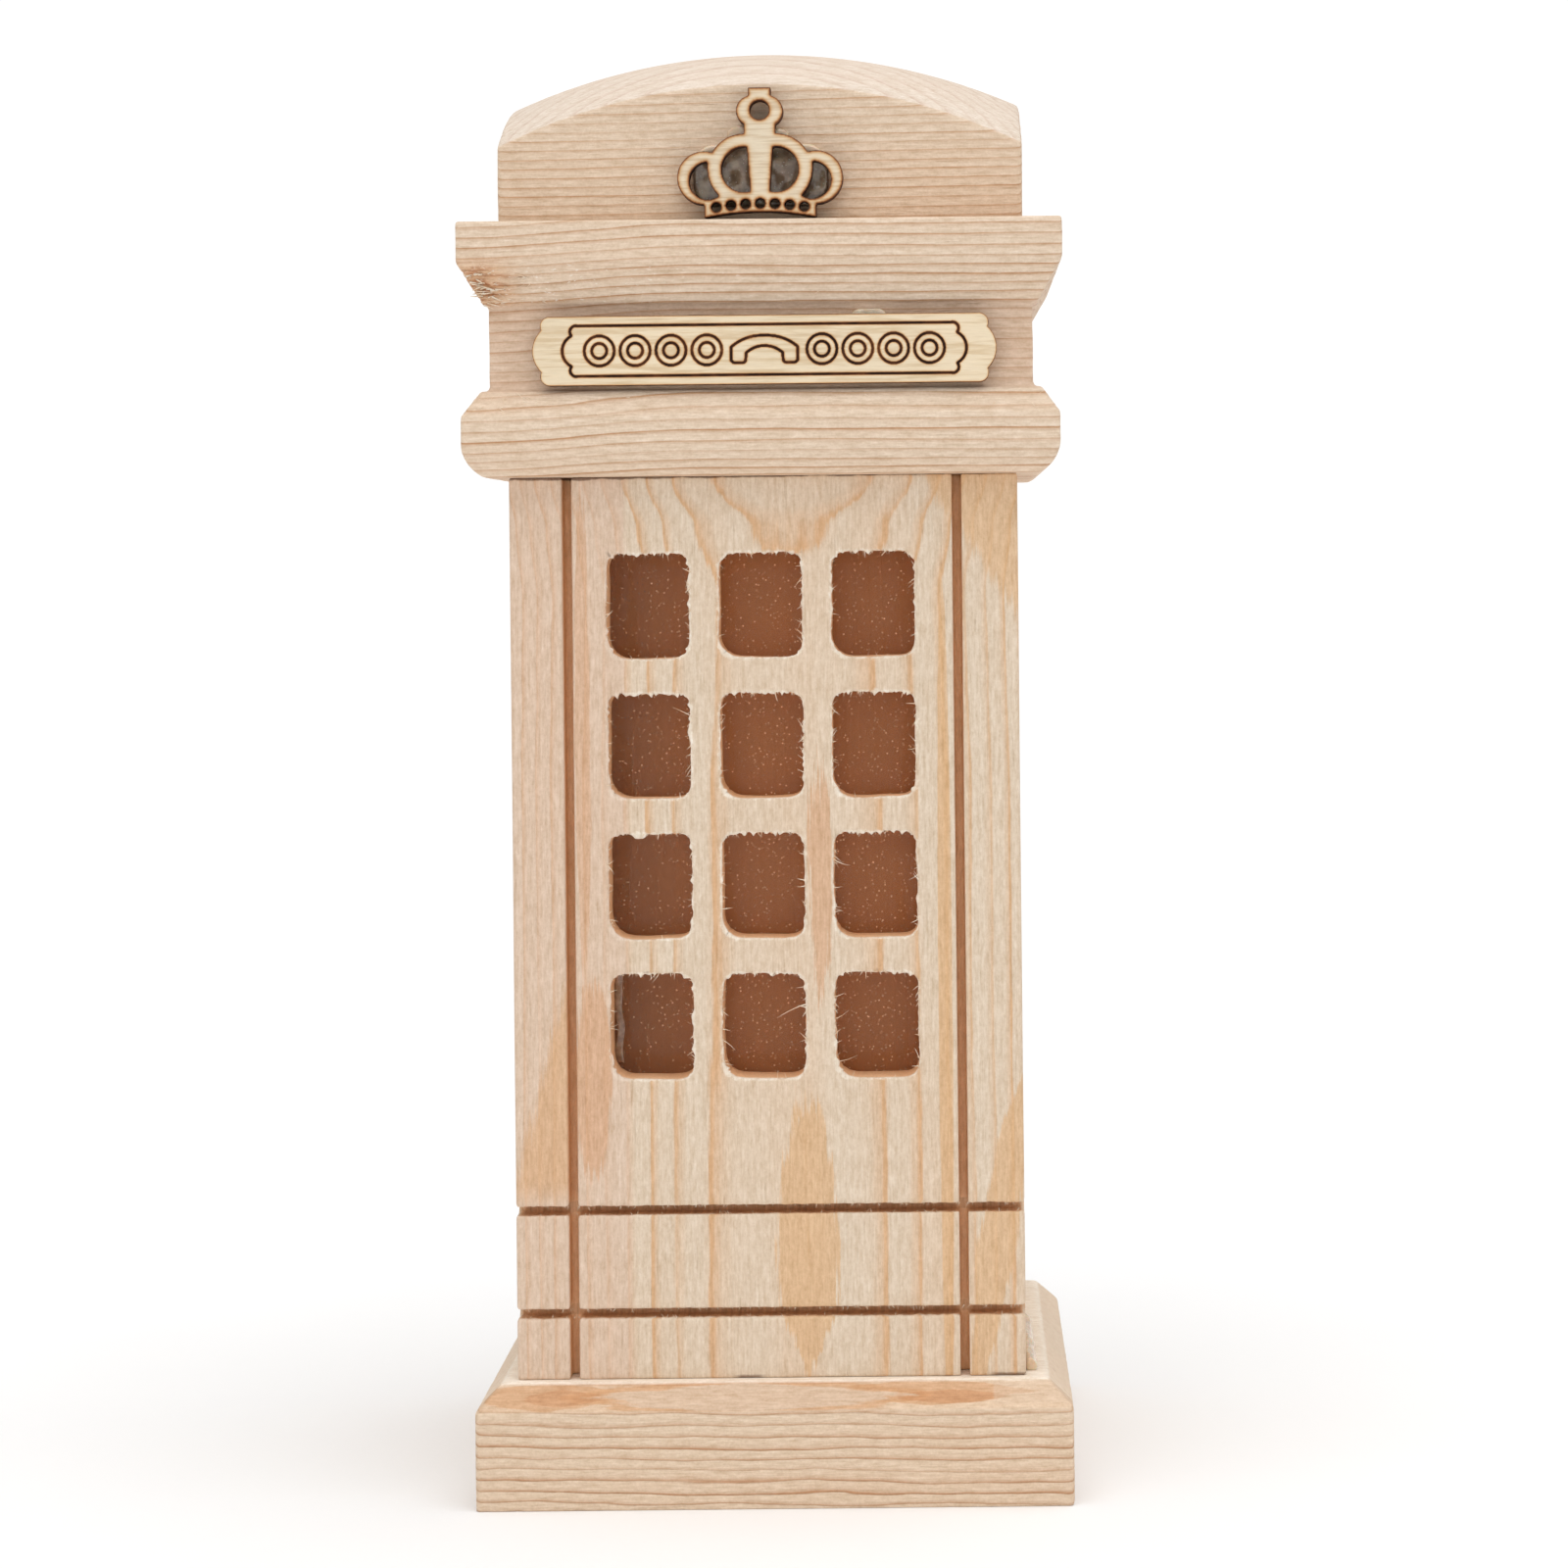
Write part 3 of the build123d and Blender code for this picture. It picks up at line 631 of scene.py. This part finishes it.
def wire_material():
    """Bright drawn wire with light scratches and a little rust."""
    g = Graph("brad_wire")
    x, y, z = g.axes
    scratches = g.noise(g.vector(x * 4.0, y * 0.6, z), 1.5, 3.0)
    rust = g.step(g.noise(g.vector(x, y, z), 1.4, 4.0, 0.7), 0.6, 0.72)
    colour = g.mix(rust * 0.5, srgb(176, 176, 178), srgb(122, 82, 54))
    g.shader.inputs["Metallic"].default_value = 0.95
    return g.finish(colour, 0.28 + scratches * 0.2 + rust * 0.3, scratches, 0.02)


def plug_material():
    """Soft translucent plug: milky plastic, with a moulder's matt grain and some scuffs."""
    g = Graph("soft_plug_plastic")
    x, y, z = g.axes
    place = g.vector(x, y, z)
    flow = g.noise(place, 0.15, 3.0)
    grain = g.noise(place, 5.0, 2.0, 0.6)
    scuffs = g.step(g.noise(g.vector(x * 0.4, y * 2.5, z), 1.2, 4.0, 0.7), 0.6, 0.7)
    colour = g.mix(flow, srgb(226, 226, 220), srgb(206, 207, 202))
    colour = g.mix(scuffs * 0.25, colour, srgb(176, 172, 162))
    g.shader.inputs["Subsurface Weight"].default_value = 0.2
    g.shader.inputs["Subsurface Scale"].default_value = 1.5 * MM
    return g.finish(colour, 0.42 + grain * 0.16 + scuffs * 0.15, grain, 0.03)


def fibre_material():
    """Loose wood fibres, pale and matt."""
    g = Graph("loose_fibres")
    x, y, z = g.axes
    tone = g.noise(g.vector(x, y, z), 0.9, 2.0)
    colour = g.mix(g.step(tone, 0.3, 0.7), srgb(250, 238, 218), srgb(234, 204, 170))
    return g.finish(colour, 0.7 + tone * 0.1, tone, 0.02)


def floor_material():
    """White studio paper."""
    g = Graph("studio_paper")
    x, y, z = g.axes
    tone = g.noise(g.vector(x, y, z), 0.02, 3.0)
    colour = g.mix(tone, srgb(250, 250, 250), srgb(246, 246, 247))
    return g.finish(colour, 0.75 + tone * 0.1, g.noise(g.vector(x, y, z), 0.8, 2.0), 0.05)


# ---- mesh tools ------------------------------------------------------------------------
def new_object(name, data):
    """A new object of the scene that holds a mesh, a light or a camera."""
    thing = bpy.data.objects.new(name, data)
    bpy.context.collection.objects.link(thing)
    return thing


def new_mesh(name, points_m, faces):
    mesh = bpy.data.meshes.new(name)
    mesh.from_pydata(points_m, [], faces)
    return mesh


def cad_copy(node, name):
    """A new object with its own copy of a CAD node's mesh."""
    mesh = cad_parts[node].data.copy()
    mesh.materials.clear()
    return new_object(name, mesh)


def apply(piece, kind, **settings):
    """Gives the piece's mesh one modifier and keeps the result."""
    modifier = piece.modifiers.new(kind.lower(), kind)
    for setting, value in settings.items():
        setattr(modifier, setting, value)
    evaluated = piece.evaluated_get(bpy.context.evaluated_depsgraph_get())
    piece.data = bpy.data.meshes.new_from_object(evaluated)
    piece.modifiers.clear()


def rows(items, field):
    """The three numbers that each item of a mesh has in a field, as one row each."""
    flat = np.empty(len(items) * 3, np.float32)
    items.foreach_get(field, flat)
    return flat.reshape(-1, 3).astype(float)


def get_points(piece):
    return rows(piece.data.vertices, "co") / MM


def get_normals(piece):
    return rows(piece.data.vertex_normals, "vector")


def set_points(piece, points):
    piece.data.vertices.foreach_set("co", (points * MM).astype(np.float32).ravel())
    piece.data.update()


def value_noise(points, seed):
    """Smooth noise from -1 to 1 at each row of points, with one cell to the unit."""
    cell = np.floor(points).astype(np.int64)
    part = points - cell
    ease = part * part * (3 - 2 * part)
    total = np.zeros(len(points))
    # a level for each corner of the cell, from its coordinates scrambled by large primes
    for corner in itertools.product((0, 1), repeat=3):
        key = (cell + corner) @ np.array((73856093, 19349663, 83492791)) + seed * 7919
        key = (key ^ (key >> 13)) * 1274126177
        level = ((key ^ (key >> 16)) & 0xFFFF) / 32767.5 - 1
        total += level * np.prod(np.where(corner, ease, 1 - ease), axis=1)
    return total


def smooth_shading(piece):
    piece.data.polygons.foreach_set("use_smooth", [True] * len(piece.data.polygons))
    piece.data.update()


def dress(piece, material, body, slot, *nodes):
    """Paints a finished piece, ties it to its body and hides the nodes it replaces. The slot is not
    used.
    """
    piece.data.materials.clear()
    piece.data.materials.append(material)
    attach(piece, body)
    if nodes:
        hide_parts(*nodes)


def worked_wood(node, name, voxel, grain, keep, shape):
    """A wooden piece with eased edges and the unevenness that sanding leaves. shape(points,
    normals), unless it is None, moves its points further. keep is the share of its faces that
    stays."""
    piece = cad_copy(node, name)
    apply(piece, "REMESH", mode="VOXEL", voxel_size=voxel * MM)
    apply(piece, "SMOOTH", factor=0.5, iterations=2)
    points = get_points(piece)
    normals = get_normals(piece)
    stretch = np.ones(3)
    stretch[grain] = 1 / GRAIN_STRETCH
    waves = value_noise(points * stretch * 0.5, 1) * 0.035
    points = points + normals * waves[:, None]
    if shape:
        points = shape(points, normals)
    set_points(piece, points)
    apply(piece, "DECIMATE", ratio=keep)
    smooth_shading(piece)
    return piece


# ---- front board -----------------------------------------------------------------------
def window_fray(points, centre):
    """Movement towards a window: its wobbly saw line, soft corners and frayed fibres."""
    reach = 1.7  # how far from the window's edge the saw and the fibres show
    true_depth = 6.8  # from here to the back the opening stays true, against the pane
    corner_reach = 3.2
    half_width, half_height = WINDOW_HALF_SIZE
    depth = points[:, Y] - FRONT_Y
    u = points[:, X] - centre[0]
    v = points[:, Z] - centre[1]
    out_u = np.abs(u) - half_width
    out_v = np.abs(v) - half_height
    distance = np.maximum(out_u, out_v)
    near = np.clip(1 - np.abs(distance) / reach, 0, 1) * (depth < true_depth)
    push_u = np.maximum(out_u + reach, 0)
    push_v = np.maximum(out_v + reach, 0)
    length = np.hypot(push_u, push_v) + 1e-9
    inward = np.stack((-np.sign(u) * push_u, np.zeros(len(u)), -np.sign(v) * push_v), 1)
    inward /= length[:, None]
    wobble = value_noise(points * (0.3, 0.05, 0.3), 11) * 0.15 + 0.04
    # the fibres stand out most from the upper edge, and least from the lower one
    upper_edge = (v > 0) & (out_v > out_u)
    lower_edge = (v < 0) & (out_v > out_u)
    raggedness = np.where(upper_edge, 1.0, np.where(lower_edge, 0.15, 0.5))
    fray = np.abs(value_noise(points * (1.7, 0.8, 1.1), 12)) ** 2 * raggedness
    fray *= np.exp(-np.clip(depth, 0, 9) / 1.3)
    corner = np.clip(1 + out_u / corner_reach, 0, 1) * np.clip(1 + out_v / corner_reach, 0, 1)
    lower_left = (u < 0) & (v < 0)
    softness = np.where(lower_left, 1.25, np.where(v < 0, 0.45, 0.2))
    amount = (wobble + fray + corner**2 * softness) * near
    return inward * amount[:, None]


def groove_fray(points, groove_z):
    """Movement up or down where the saw left the edges of a level groove a little uneven."""
    groove_depth = 4.5
    off = points[:, Z] - groove_z
    near = np.clip(1 - np.abs(np.abs(off) - GROOVE_WIDTH / 2) / 0.6, 0, 1)
    ragged = value_noise(points * (2.2, 0.7, 0.4), 13) * 0.08
    return near * ragged * (points[:, Y] - FRONT_Y < groove_depth)


def sawn_front(points, normals):
    """The front board with its sawn windows and grooves."""
    moved = points.copy()
    for centre in window_centres:
        moved += window_fray(points, centre)
    for groove_z in LEVEL_GROOVES_Z:
        moved[:, Z] += groove_fray(points, groove_z)
    return moved


def strand_mesh(name, strands):
    """Thin tapered fibres. Each strand is (start, direction, bend, length, width)."""
    rings, sides = 4, 3
    points, faces = [], []
    for start, direction, bend, length, width in strands:
        first = len(points)
        direction = Vector(direction).normalized()
        side = direction.orthogonal().normalized()
        other = direction.cross(side)
        for ring in range(rings):
            part = ring / (rings - 1)
            middle = Vector(start) + direction * length * part + Vector(bend) * length * part**2
            radius = width / 2 * (1 - 0.85 * part)
            for corner in range(sides):
                angle = math.tau * corner / sides
                out = side * math.cos(angle) + other * math.sin(angle)
                points.append(tuple((middle + out * radius) * MM))
        for ring in range(rings - 1):
            for corner in range(sides):
                a = first + ring * sides + corner
                b = first + ring * sides + (corner + 1) % sides
                faces.append((a, b, b + sides, a + sides))
        faces.append(tuple(first + corner for corner in reversed(range(sides))))
        last = first + (rings - 1) * sides
        faces.append(tuple(last + corner for corner in range(sides)))
    piece = new_object(name, new_mesh(name, points, faces))
    smooth_shading(piece)
    return piece


def around_window(centre, part):
    """Point and inward direction at a share of the way round a window, from its top left."""
    half_width, half_height = WINDOW_HALF_SIZE
    inset = 0.15
    sides = (
        ((-1, 1), (1, 1), (0, -1)),
        ((1, 1), (1, -1), (-1, 0)),
        ((1, -1), (-1, -1), (0, 1)),
        ((-1, -1), (-1, 1), (1, 0)),
    )
    side, share = divmod(part * 4, 1)
    start, end, inward = sides[int(side)]
    share = share * 0.84 + 0.08  # clear of the rounded corners
    u = start[0] + (end[0] - start[0]) * share
    v = start[1] + (end[1] - start[1]) * share
    x = centre[0] + u * half_width - inward[0] * inset
    z = centre[1] + v * half_height - inward[1] * inset
    return x, z, inward


def window_splinters():
    """Loose fibres round the windows."""
    strands = []
    for centre in window_centres:
        for _ in range(80):
            x, z, inward = around_window(centre, random.random())
            level_edge = inward[0] == 0
            length = random.uniform(0.35, 0.9) if level_edge else random.uniform(0.5, 1.3)
            if random.random() < 0.04:
                length *= 2.0
            if inward[1] > 0 and random.random() < 0.8:
                continue
            lean = random.gauss(0, 0.45) if level_edge else random.gauss(0.0, 1.4)
            direction = (
                inward[0] * 0.7 + (lean if level_edge else 0.0),
                random.uniform(-0.5, 0.35),
                inward[1] + (0.0 if level_edge else lean),
            )
            bend = (random.gauss(0, 0.3), random.gauss(-0.1, 0.2), random.gauss(0, 0.3))
            start = (x, FRONT_Y + random.uniform(0.05, 0.7), z)
            strands.append((start, direction, bend, length, random.uniform(0.12, 0.26)))
    return strands


def groove_splinters():
    """Loose fibres along the level grooves."""
    strands = []
    for groove_z in LEVEL_GROOVES_Z:
        for _ in range(120):
            x = random.uniform(front_low[X] + 0.6, front_high[X] - 0.6)
            side = 1 if random.random() < 0.75 else -1
            start = (x, FRONT_Y + random.uniform(0.0, 0.7), groove_z + side * GROOVE_WIDTH * 0.5)
            direction = (random.gauss(0, 0.5), random.uniform(-0.35, 0.4), -side)
            bend = (random.gauss(0, 0.3), random.gauss(-0.1, 0.2), 0.0)
            length = random.uniform(0.2, 0.65)
            strands.append((start, direction, bend, length, random.uniform(0.06, 0.15)))
    return strands


def cornice_splinters():
    """Fibres that stand up from the torn slopes of the mouldings."""
    strands = []
    # slivers at the torn left end
    (foot, foot_half), (head, head_half) = UPPER_SLOPE
    for _ in range(34):
        part = random.uniform(0.0, 0.75)
        half = foot_half + (head_half - foot_half) * part
        height = CORNICE_Z + foot + (head - foot) * part
        start = (-half + random.expovariate(0.35), -half + 0.15, height)
        direction = (random.choice((-1, 1, 1)), random.uniform(-0.2, 0.0), random.gauss(-0.1, 0.25))
        bend = (0.0, random.uniform(-0.1, 0.0), random.gauss(0, 0.12))
        strands.append((start, direction, bend, random.uniform(0.5, 1.8), random.uniform(0.2, 0.45)))
    # fine fibres all along, and more of them near the left end
    for (foot, foot_half), (head, head_half) in (UPPER_SLOPE, LOWER_SLOPE):
        for _ in range(90):
            part = random.random()
            half = foot_half + (head_half - foot_half) * part
            near_end = random.random() < 0.45
            ends = (-half + 0.5, -half + 9) if near_end else (-half + 1, half - 1)
            x = random.uniform(*ends)
            start = (x, -half + 0.06, CORNICE_Z + foot + (head - foot) * part)
            direction = (random.choice((-1, 1)), random.uniform(-0.45, -0.1), random.gauss(0, 0.35))
            bend = (0.0, random.uniform(-0.15, 0.05), random.gauss(0, 0.25))
            length = random.uniform(0.2, 0.8)
            strands.append((start, direction, bend, length, random.uniform(0.06, 0.15)))
    return strands


# ---- laser-cut plywood -----------------------------------------------------------------
def scorched_plate(node, name, voxel, halo, engraved):
    """A laser-cut plate, with a burn attribute: 1 on cut faces and fading away from them."""
    piece = cad_copy(node, name)
    apply(piece, "REMESH", mode="VOXEL", voxel_size=voxel * MM)
    apply(piece, "SMOOTH", factor=0.4, iterations=1)
    points = get_points(piece)
    normals = get_normals(piece)
    front = points[:, Y].min()
    back = points[:, Y].max()
    cut = np.abs(normals[:, Y]) < 0.75
    sunk = points[:, Y] > front + 0.07
    hot = cut & (points[:, Y] < back - 0.2)
    if engraved:
        hot |= sunk & (points[:, Y] < front + 0.6)
    tree = kdtree.KDTree(int(hot.sum()))
    for index, point in enumerate(points[hot]):
        tree.insert(point, index)
    tree.balance()
    burn = 0.9 + 0.25 * value_noise(points * 0.8, 51)
    for index in np.flatnonzero(~hot):
        distance = tree.find(points[index])[2]
        burn[index] = 0.8 * math.exp(-((distance / halo) ** 1.3))
    attribute = piece.data.attributes.new("burn", "FLOAT", "POINT")
    attribute.data.foreach_set("value", burn.astype(np.float32))
    smooth_shading(piece)
    return piece


# ---- glue ------------------------------------------------------------------------------
def glue_lump(node, name, voxel, swell, cells, direction):
    """Hot glue: the CAD pad, rounded by surface tension and swollen along a direction."""
    piece = cad_copy(node, name)
    apply(piece, "REMESH", mode="VOXEL", voxel_size=voxel * MM)
    apply(piece, "SMOOTH", factor=0.5, iterations=6)
    points = get_points(piece)
    normals = get_normals(piece)
    facing = np.clip(normals @ np.array(direction), 0, 1)
    uneven = value_noise(points * cells, 21) * 0.5 + 0.5
    points += np.array(direction) * (facing * uneven * swell)[:, None]
    set_points(piece, points)
    apply(piece, "SMOOTH", factor=0.5, iterations=3)
    smooth_shading(piece)
    return piece


# ---- the pieces ------------------------------------------------------------------------
def board_wood(name, rings, wander=0.9, spikes=0.15):
    """Pine of the side and back boards, which is unsanded on the inside."""
    return pine(
        name, Z, rings, srgb(226, 206, 182), srgb(212, 170, 128), inner_faces, wander, spikes,
        calm=inside_column,
    )


base_wood = pine(
    "pine_of_base", X, arc_rings(-80.0, 57.0, 1.15, ((-40, -0.5), (0, 0.1), (40, 0.4))),
    srgb(227, 204, 178), srgb(187, 139, 100), base_marks,
    wander=1.0, spikes=0.16, contrast=1.3, relief=0.8, ripple=1.1,
)
front_wood = pine(
    "pine_of_front", Z, front_rings, srgb(224, 205, 182), srgb(217, 176, 135), front_marks,
    wander=0.7, spikes=0.2, contrast=1.35,
)
left_wood = board_wood("pine_of_left_side", board_rings(-6, 40.0, 2.6, X))
right_wood = board_wood("pine_of_right_side", board_rings(14, 60.0, -2.9, X))
back_wood = board_wood("pine_of_back", board_rings(-11, 95.0, 3.2, Y), 0.8, 0.16)
cornice_wood = pine(
    "pine_of_cornice", X,
    arc_rings(-10.0, CORNICE_Z - 70.0, 1.3, ((-40, 1.6), (-8, 0.0), (40, 0.15))),
    srgb(228, 206, 182), srgb(192, 146, 106), cornice_marks,
    wander=0.9, spikes=0.1, contrast=1.25, ripple=0.4,
)
roof_wood = pine(
    "pine_of_roof", X, arc_rings(18.0, ROOF_Z - 60.0, 0.98, ((-40, 0.5), (40, -0.6))),
    srgb(225, 202, 177), srgb(196, 151, 111), roof_painted_top_light,
    wander=1.1, spikes=0.12, contrast=1.05,
)
glue = clear_glue("glue_clear", srgb(222, 202, 172), srgb(232, 216, 190))
bead_glue = clear_glue("glue_over_pine", srgb(218, 190, 156), srgb(230, 206, 174), 0.2, 0.2)
# painted shade: the glue run on the pane is coloured dark for the shaded inside of the box behind it
run_glue = clear_glue("glue_over_window_shade", srgb(126, 96, 74), srgb(168, 140, 116), 0.5, 0.1)
# painted shade: the glue seen in the crown's openings is coloured dark for the shade there, and beyond
# the neck and shoulders it shows the pine under it
shaded_crown_glue = clear_glue(
    "glue_in_crown_shade", srgb(124, 101, 80), srgb(168, 147, 122), pine_through=past_crown
)


def uneven_base(points, normals):
    """Dents along the lower edge, and an underside that rests flat."""
    dents = np.clip(value_noise(points * (0.5, 0.5, 1.2), 31) - 0.45, 0, 1) * 0.35
    near_edge = np.exp(-(points[:, Z] - base_low[Z]) / 1.2)
    points = points - normals * (dents * near_edge)[:, None]
    underside = (normals[:, Z] < -0.95) & (points[:, Z] < base_low[Z] + 0.3)
    points[underside, Z] = base_low[Z]
    points[:, Z] = np.maximum(points[:, Z], base_low[Z])
    return points


def torn_cornice(points, normals):
    """Torn grain on the slopes of the mouldings, deepest at the left end."""
    level = points[:, Z] - CORNICE_Z
    upper = np.clip(1 - np.abs(level - 25.5) / 3.0, 0, 1)
    lower = np.clip(1 - np.abs(level - 10.0) / 2.0, 0, 1)
    left = np.clip((-30 - points[:, X]) / 7, 0, 1) * np.clip((-31 - points[:, Y]) / 4, 0, 1)
    strength = upper * (0.08 + 1.5 * left) + lower * 0.10
    pits = np.abs(value_noise(points * (0.35, 1.3, 1.6), 41)) ** 1.5
    splits = np.clip(value_noise(points * (0.12, 0.6, 2.1), 42) - 0.35, 0, 1) * left * upper
    return points - normals * (pits * strength + splits * 2.6)[:, None]


# node, piece, voxel, axis of the grain, share of faces kept, shape, wood, slot
wooden = (
    ("base_board", "base_block", 0.42, X, 0.22, uneven_base, base_wood, "pine_base"),
    ("front_panel", "front_board", 0.27, Z, 0.3, sawn_front, front_wood, "pine_board"),
    ("left_side_panel", "left_side_board", 0.5, Z, 0.2, None, left_wood, "pine_board"),
    ("right_side_panel", "right_side_board", 0.5, Z, 0.2, None, right_wood, "pine_board"),
    ("back_panel", "back_board", 0.42, Z, 0.2, None, back_wood, "pine_board"),
    ("cornice_block", "cornice", 0.38, X, 0.25, torn_cornice, cornice_wood, "pine_block"),
    ("roof_block", "roof", 0.45, X, 0.22, None, roof_wood, "pine_block"),
)
for node, name, voxel, grain, keep, shape, wood, slot in wooden:
    dress(worked_wood(node, name, voxel, grain, keep, shape), wood, "booth", slot, node)

fibres = fibre_material()
dress(strand_mesh("front_board_fibres", window_splinters() + groove_splinters()),
      fibres, "booth", "pine_board")
dress(strand_mesh("cornice_fibres", cornice_splinters()), fibres, "booth", "pine_block")

crown_ply = plywood("scorched_crown_ply", srgb(229, 213, 187), srgb(210, 188, 158), 0.45)
sign_ply = plywood("scorched_sign_ply", srgb(235, 217, 187), srgb(217, 193, 157), 0.6)
dress(scorched_plate("crown", "crown_plate", 0.13, 0.28, False),
      crown_ply, "booth", "plywood", "crown")
dress(scorched_plate("name_plate", "sign_plate", 0.1, 0.1, True),
      sign_ply, "booth", "plywood", "name_plate")

# node, piece, voxel, swelling, noise cells to the millimetre, direction, material
lumps = (
    ("crown_glue", "glue_behind_crown", 0.22, 1.2, 0.5, (0, -1, 0), shaded_crown_glue),
    ("plate_glue", "glue_behind_sign", 0.14, 0.9, 0.6, (0, -1, 0), glue),
    ("column_glue_bead", "glue_at_foot", 0.2, 0.6, 0.35, (0.7, 0, 0.7), bead_glue),
    ("pane_glue_dabs", "dabs_on_pane", 0.25, 0.1, 0.8, (0, 1, 0), glue),
)
for node, name, voxel, swell, cells, direction, material in lumps:
    dress(glue_lump(node, name, voxel, swell, cells, direction), material, "booth", "clear_glue", node)


def glue_run(name, centre, half_size):
    """A run of clear glue down the front of the pane."""
    signs = itertools.product((-1, 1), repeat=3)
    points = [tuple((c + s * h) * MM for c, s, h in zip(centre, sign, half_size)) for sign in signs]
    faces = [(0, 1, 3, 2), (4, 6, 7, 5), (0, 4, 5, 1), (2, 3, 7, 6), (0, 2, 6, 4), (1, 5, 7, 3)]
    piece = new_object(name, new_mesh(name, points, faces))
    apply(piece, "REMESH", mode="VOXEL", voxel_size=0.14 * MM)
    apply(piece, "SMOOTH", factor=0.5, iterations=8)
    points = get_points(piece)
    points[:, X] += value_noise(points * (0.2, 0.2, 0.35), 61) * 0.35
    swell = value_noise(points * (0.8, 0.5, 0.5), 62) * 0.12
    set_points(piece, points + get_normals(piece) * swell[:, None])
    smooth_shading(piece)
    return piece


lowest_left = window_centres[0]
dress(glue_run("glue_run_on_pane",
               (lowest_left[0] - WINDOW_HALF_SIZE[0] + 0.8, pane_low[Y] - 0.25, lowest_left[1] + 0.6),
               (0.55, 0.3, 6.2)),
      run_glue, "booth", "clear_glue")


def bevelled(node, name, width, angle=math.radians(35)):
    """The CAD node with rounded edges."""
    piece = cad_copy(node, name)
    apply(piece, "WELD", merge_threshold=0.002 * MM)
    apply(piece, "DECIMATE", decimate_type="DISSOLVE", angle_limit=math.radians(0.5))
    apply(piece, "BEVEL", width=width * MM, segments=3, limit_method="ANGLE", angle_limit=angle)
    smooth_shading(piece)
    return piece


dress(bevelled("window_pane", "pane", 0.15), pane_material(), "booth", "clear_pane", "window_pane")
dress(bevelled("base_brads", "brads", 0.1), wire_material(), "booth", "steel_wire", "base_brads")
dress(bevelled("coin_plug", "plug_moulding", 0.25, math.radians(30)),
      plug_material(), "plug", "soft_plug", "coin_plug")

# ---- studio ----------------------------------------------------------------------------
FLOOR_HALF_M = 6.0
signs = ((-1, -1), (1, -1), (1, 1), (-1, 1))
floor_corners = [(x * FLOOR_HALF_M, y * FLOOR_HALF_M, 0) for x, y in signs]
floor = new_object("studio_floor", new_mesh("studio_floor", floor_corners, [(0, 1, 2, 3)]))
floor.data.materials.append(floor_material())

world = bpy.data.worlds.new("studio")
bpy.context.scene.world = world
world.use_nodes = True
background = world.node_tree.nodes["Background"]
background.inputs["Color"].default_value = (1.0, 0.995, 0.985, 1)
# the paper behind the object is seen white, and lights it less than that
light_path = world.node_tree.nodes.new("ShaderNodeLightPath")
seen_or_felt = world.node_tree.nodes.new("ShaderNodeMapRange")
seen_or_felt.inputs["To Min"].default_value = 0.45
seen_or_felt.inputs["To Max"].default_value = 1.05
world.node_tree.links.new(light_path.outputs["Is Camera Ray"], seen_or_felt.inputs["Value"])
world.node_tree.links.new(seen_or_felt.outputs[0], background.inputs["Strength"])


def soft_sun(name, azimuth, elevation, spread, strength):
    """Even soft light. Azimuth 0 comes from the front and grows towards the right."""
    light = bpy.data.lights.new(name, "SUN")
    light.angle = math.radians(spread)
    light.energy = strength
    around, up = math.radians(azimuth), math.radians(elevation)
    towards = Vector((math.sin(around) * math.cos(up), -math.cos(around) * math.cos(up), math.sin(up)))
    lamp = new_object(name, light)
    lamp.rotation_euler = (-towards).to_track_quat("-Z", "Y").to_euler()


soft_sun("key_light", azimuth=-38, elevation=44, spread=50, strength=0.16)
soft_sun("fill_light", azimuth=50, elevation=40, spread=60, strength=0.1)
soft_sun("front_light", azimuth=-12, elevation=10, spread=60, strength=0.34)
soft_sun("top_light", azimuth=30, elevation=80, spread=70, strength=2.0)

# the photograph was taken from a little to the right, at the height of the upper windows,
# looking level
camera_data = bpy.data.cameras.new("camera")
camera_data.lens = 92.9
camera_data.sensor_width = 36.0
camera_data.shift_x = -0.103
camera_data.shift_y = -0.144
camera_data.clip_start = 0.01
camera = new_object("camera", camera_data)
camera.location = (24.5 * MM, -580 * MM, 126.7 * MM)
camera.rotation_euler = (math.radians(90), math.radians(0.59), 0)
bpy.context.scene.camera = camera
bpy.context.scene.view_settings.view_transform = "Standard"
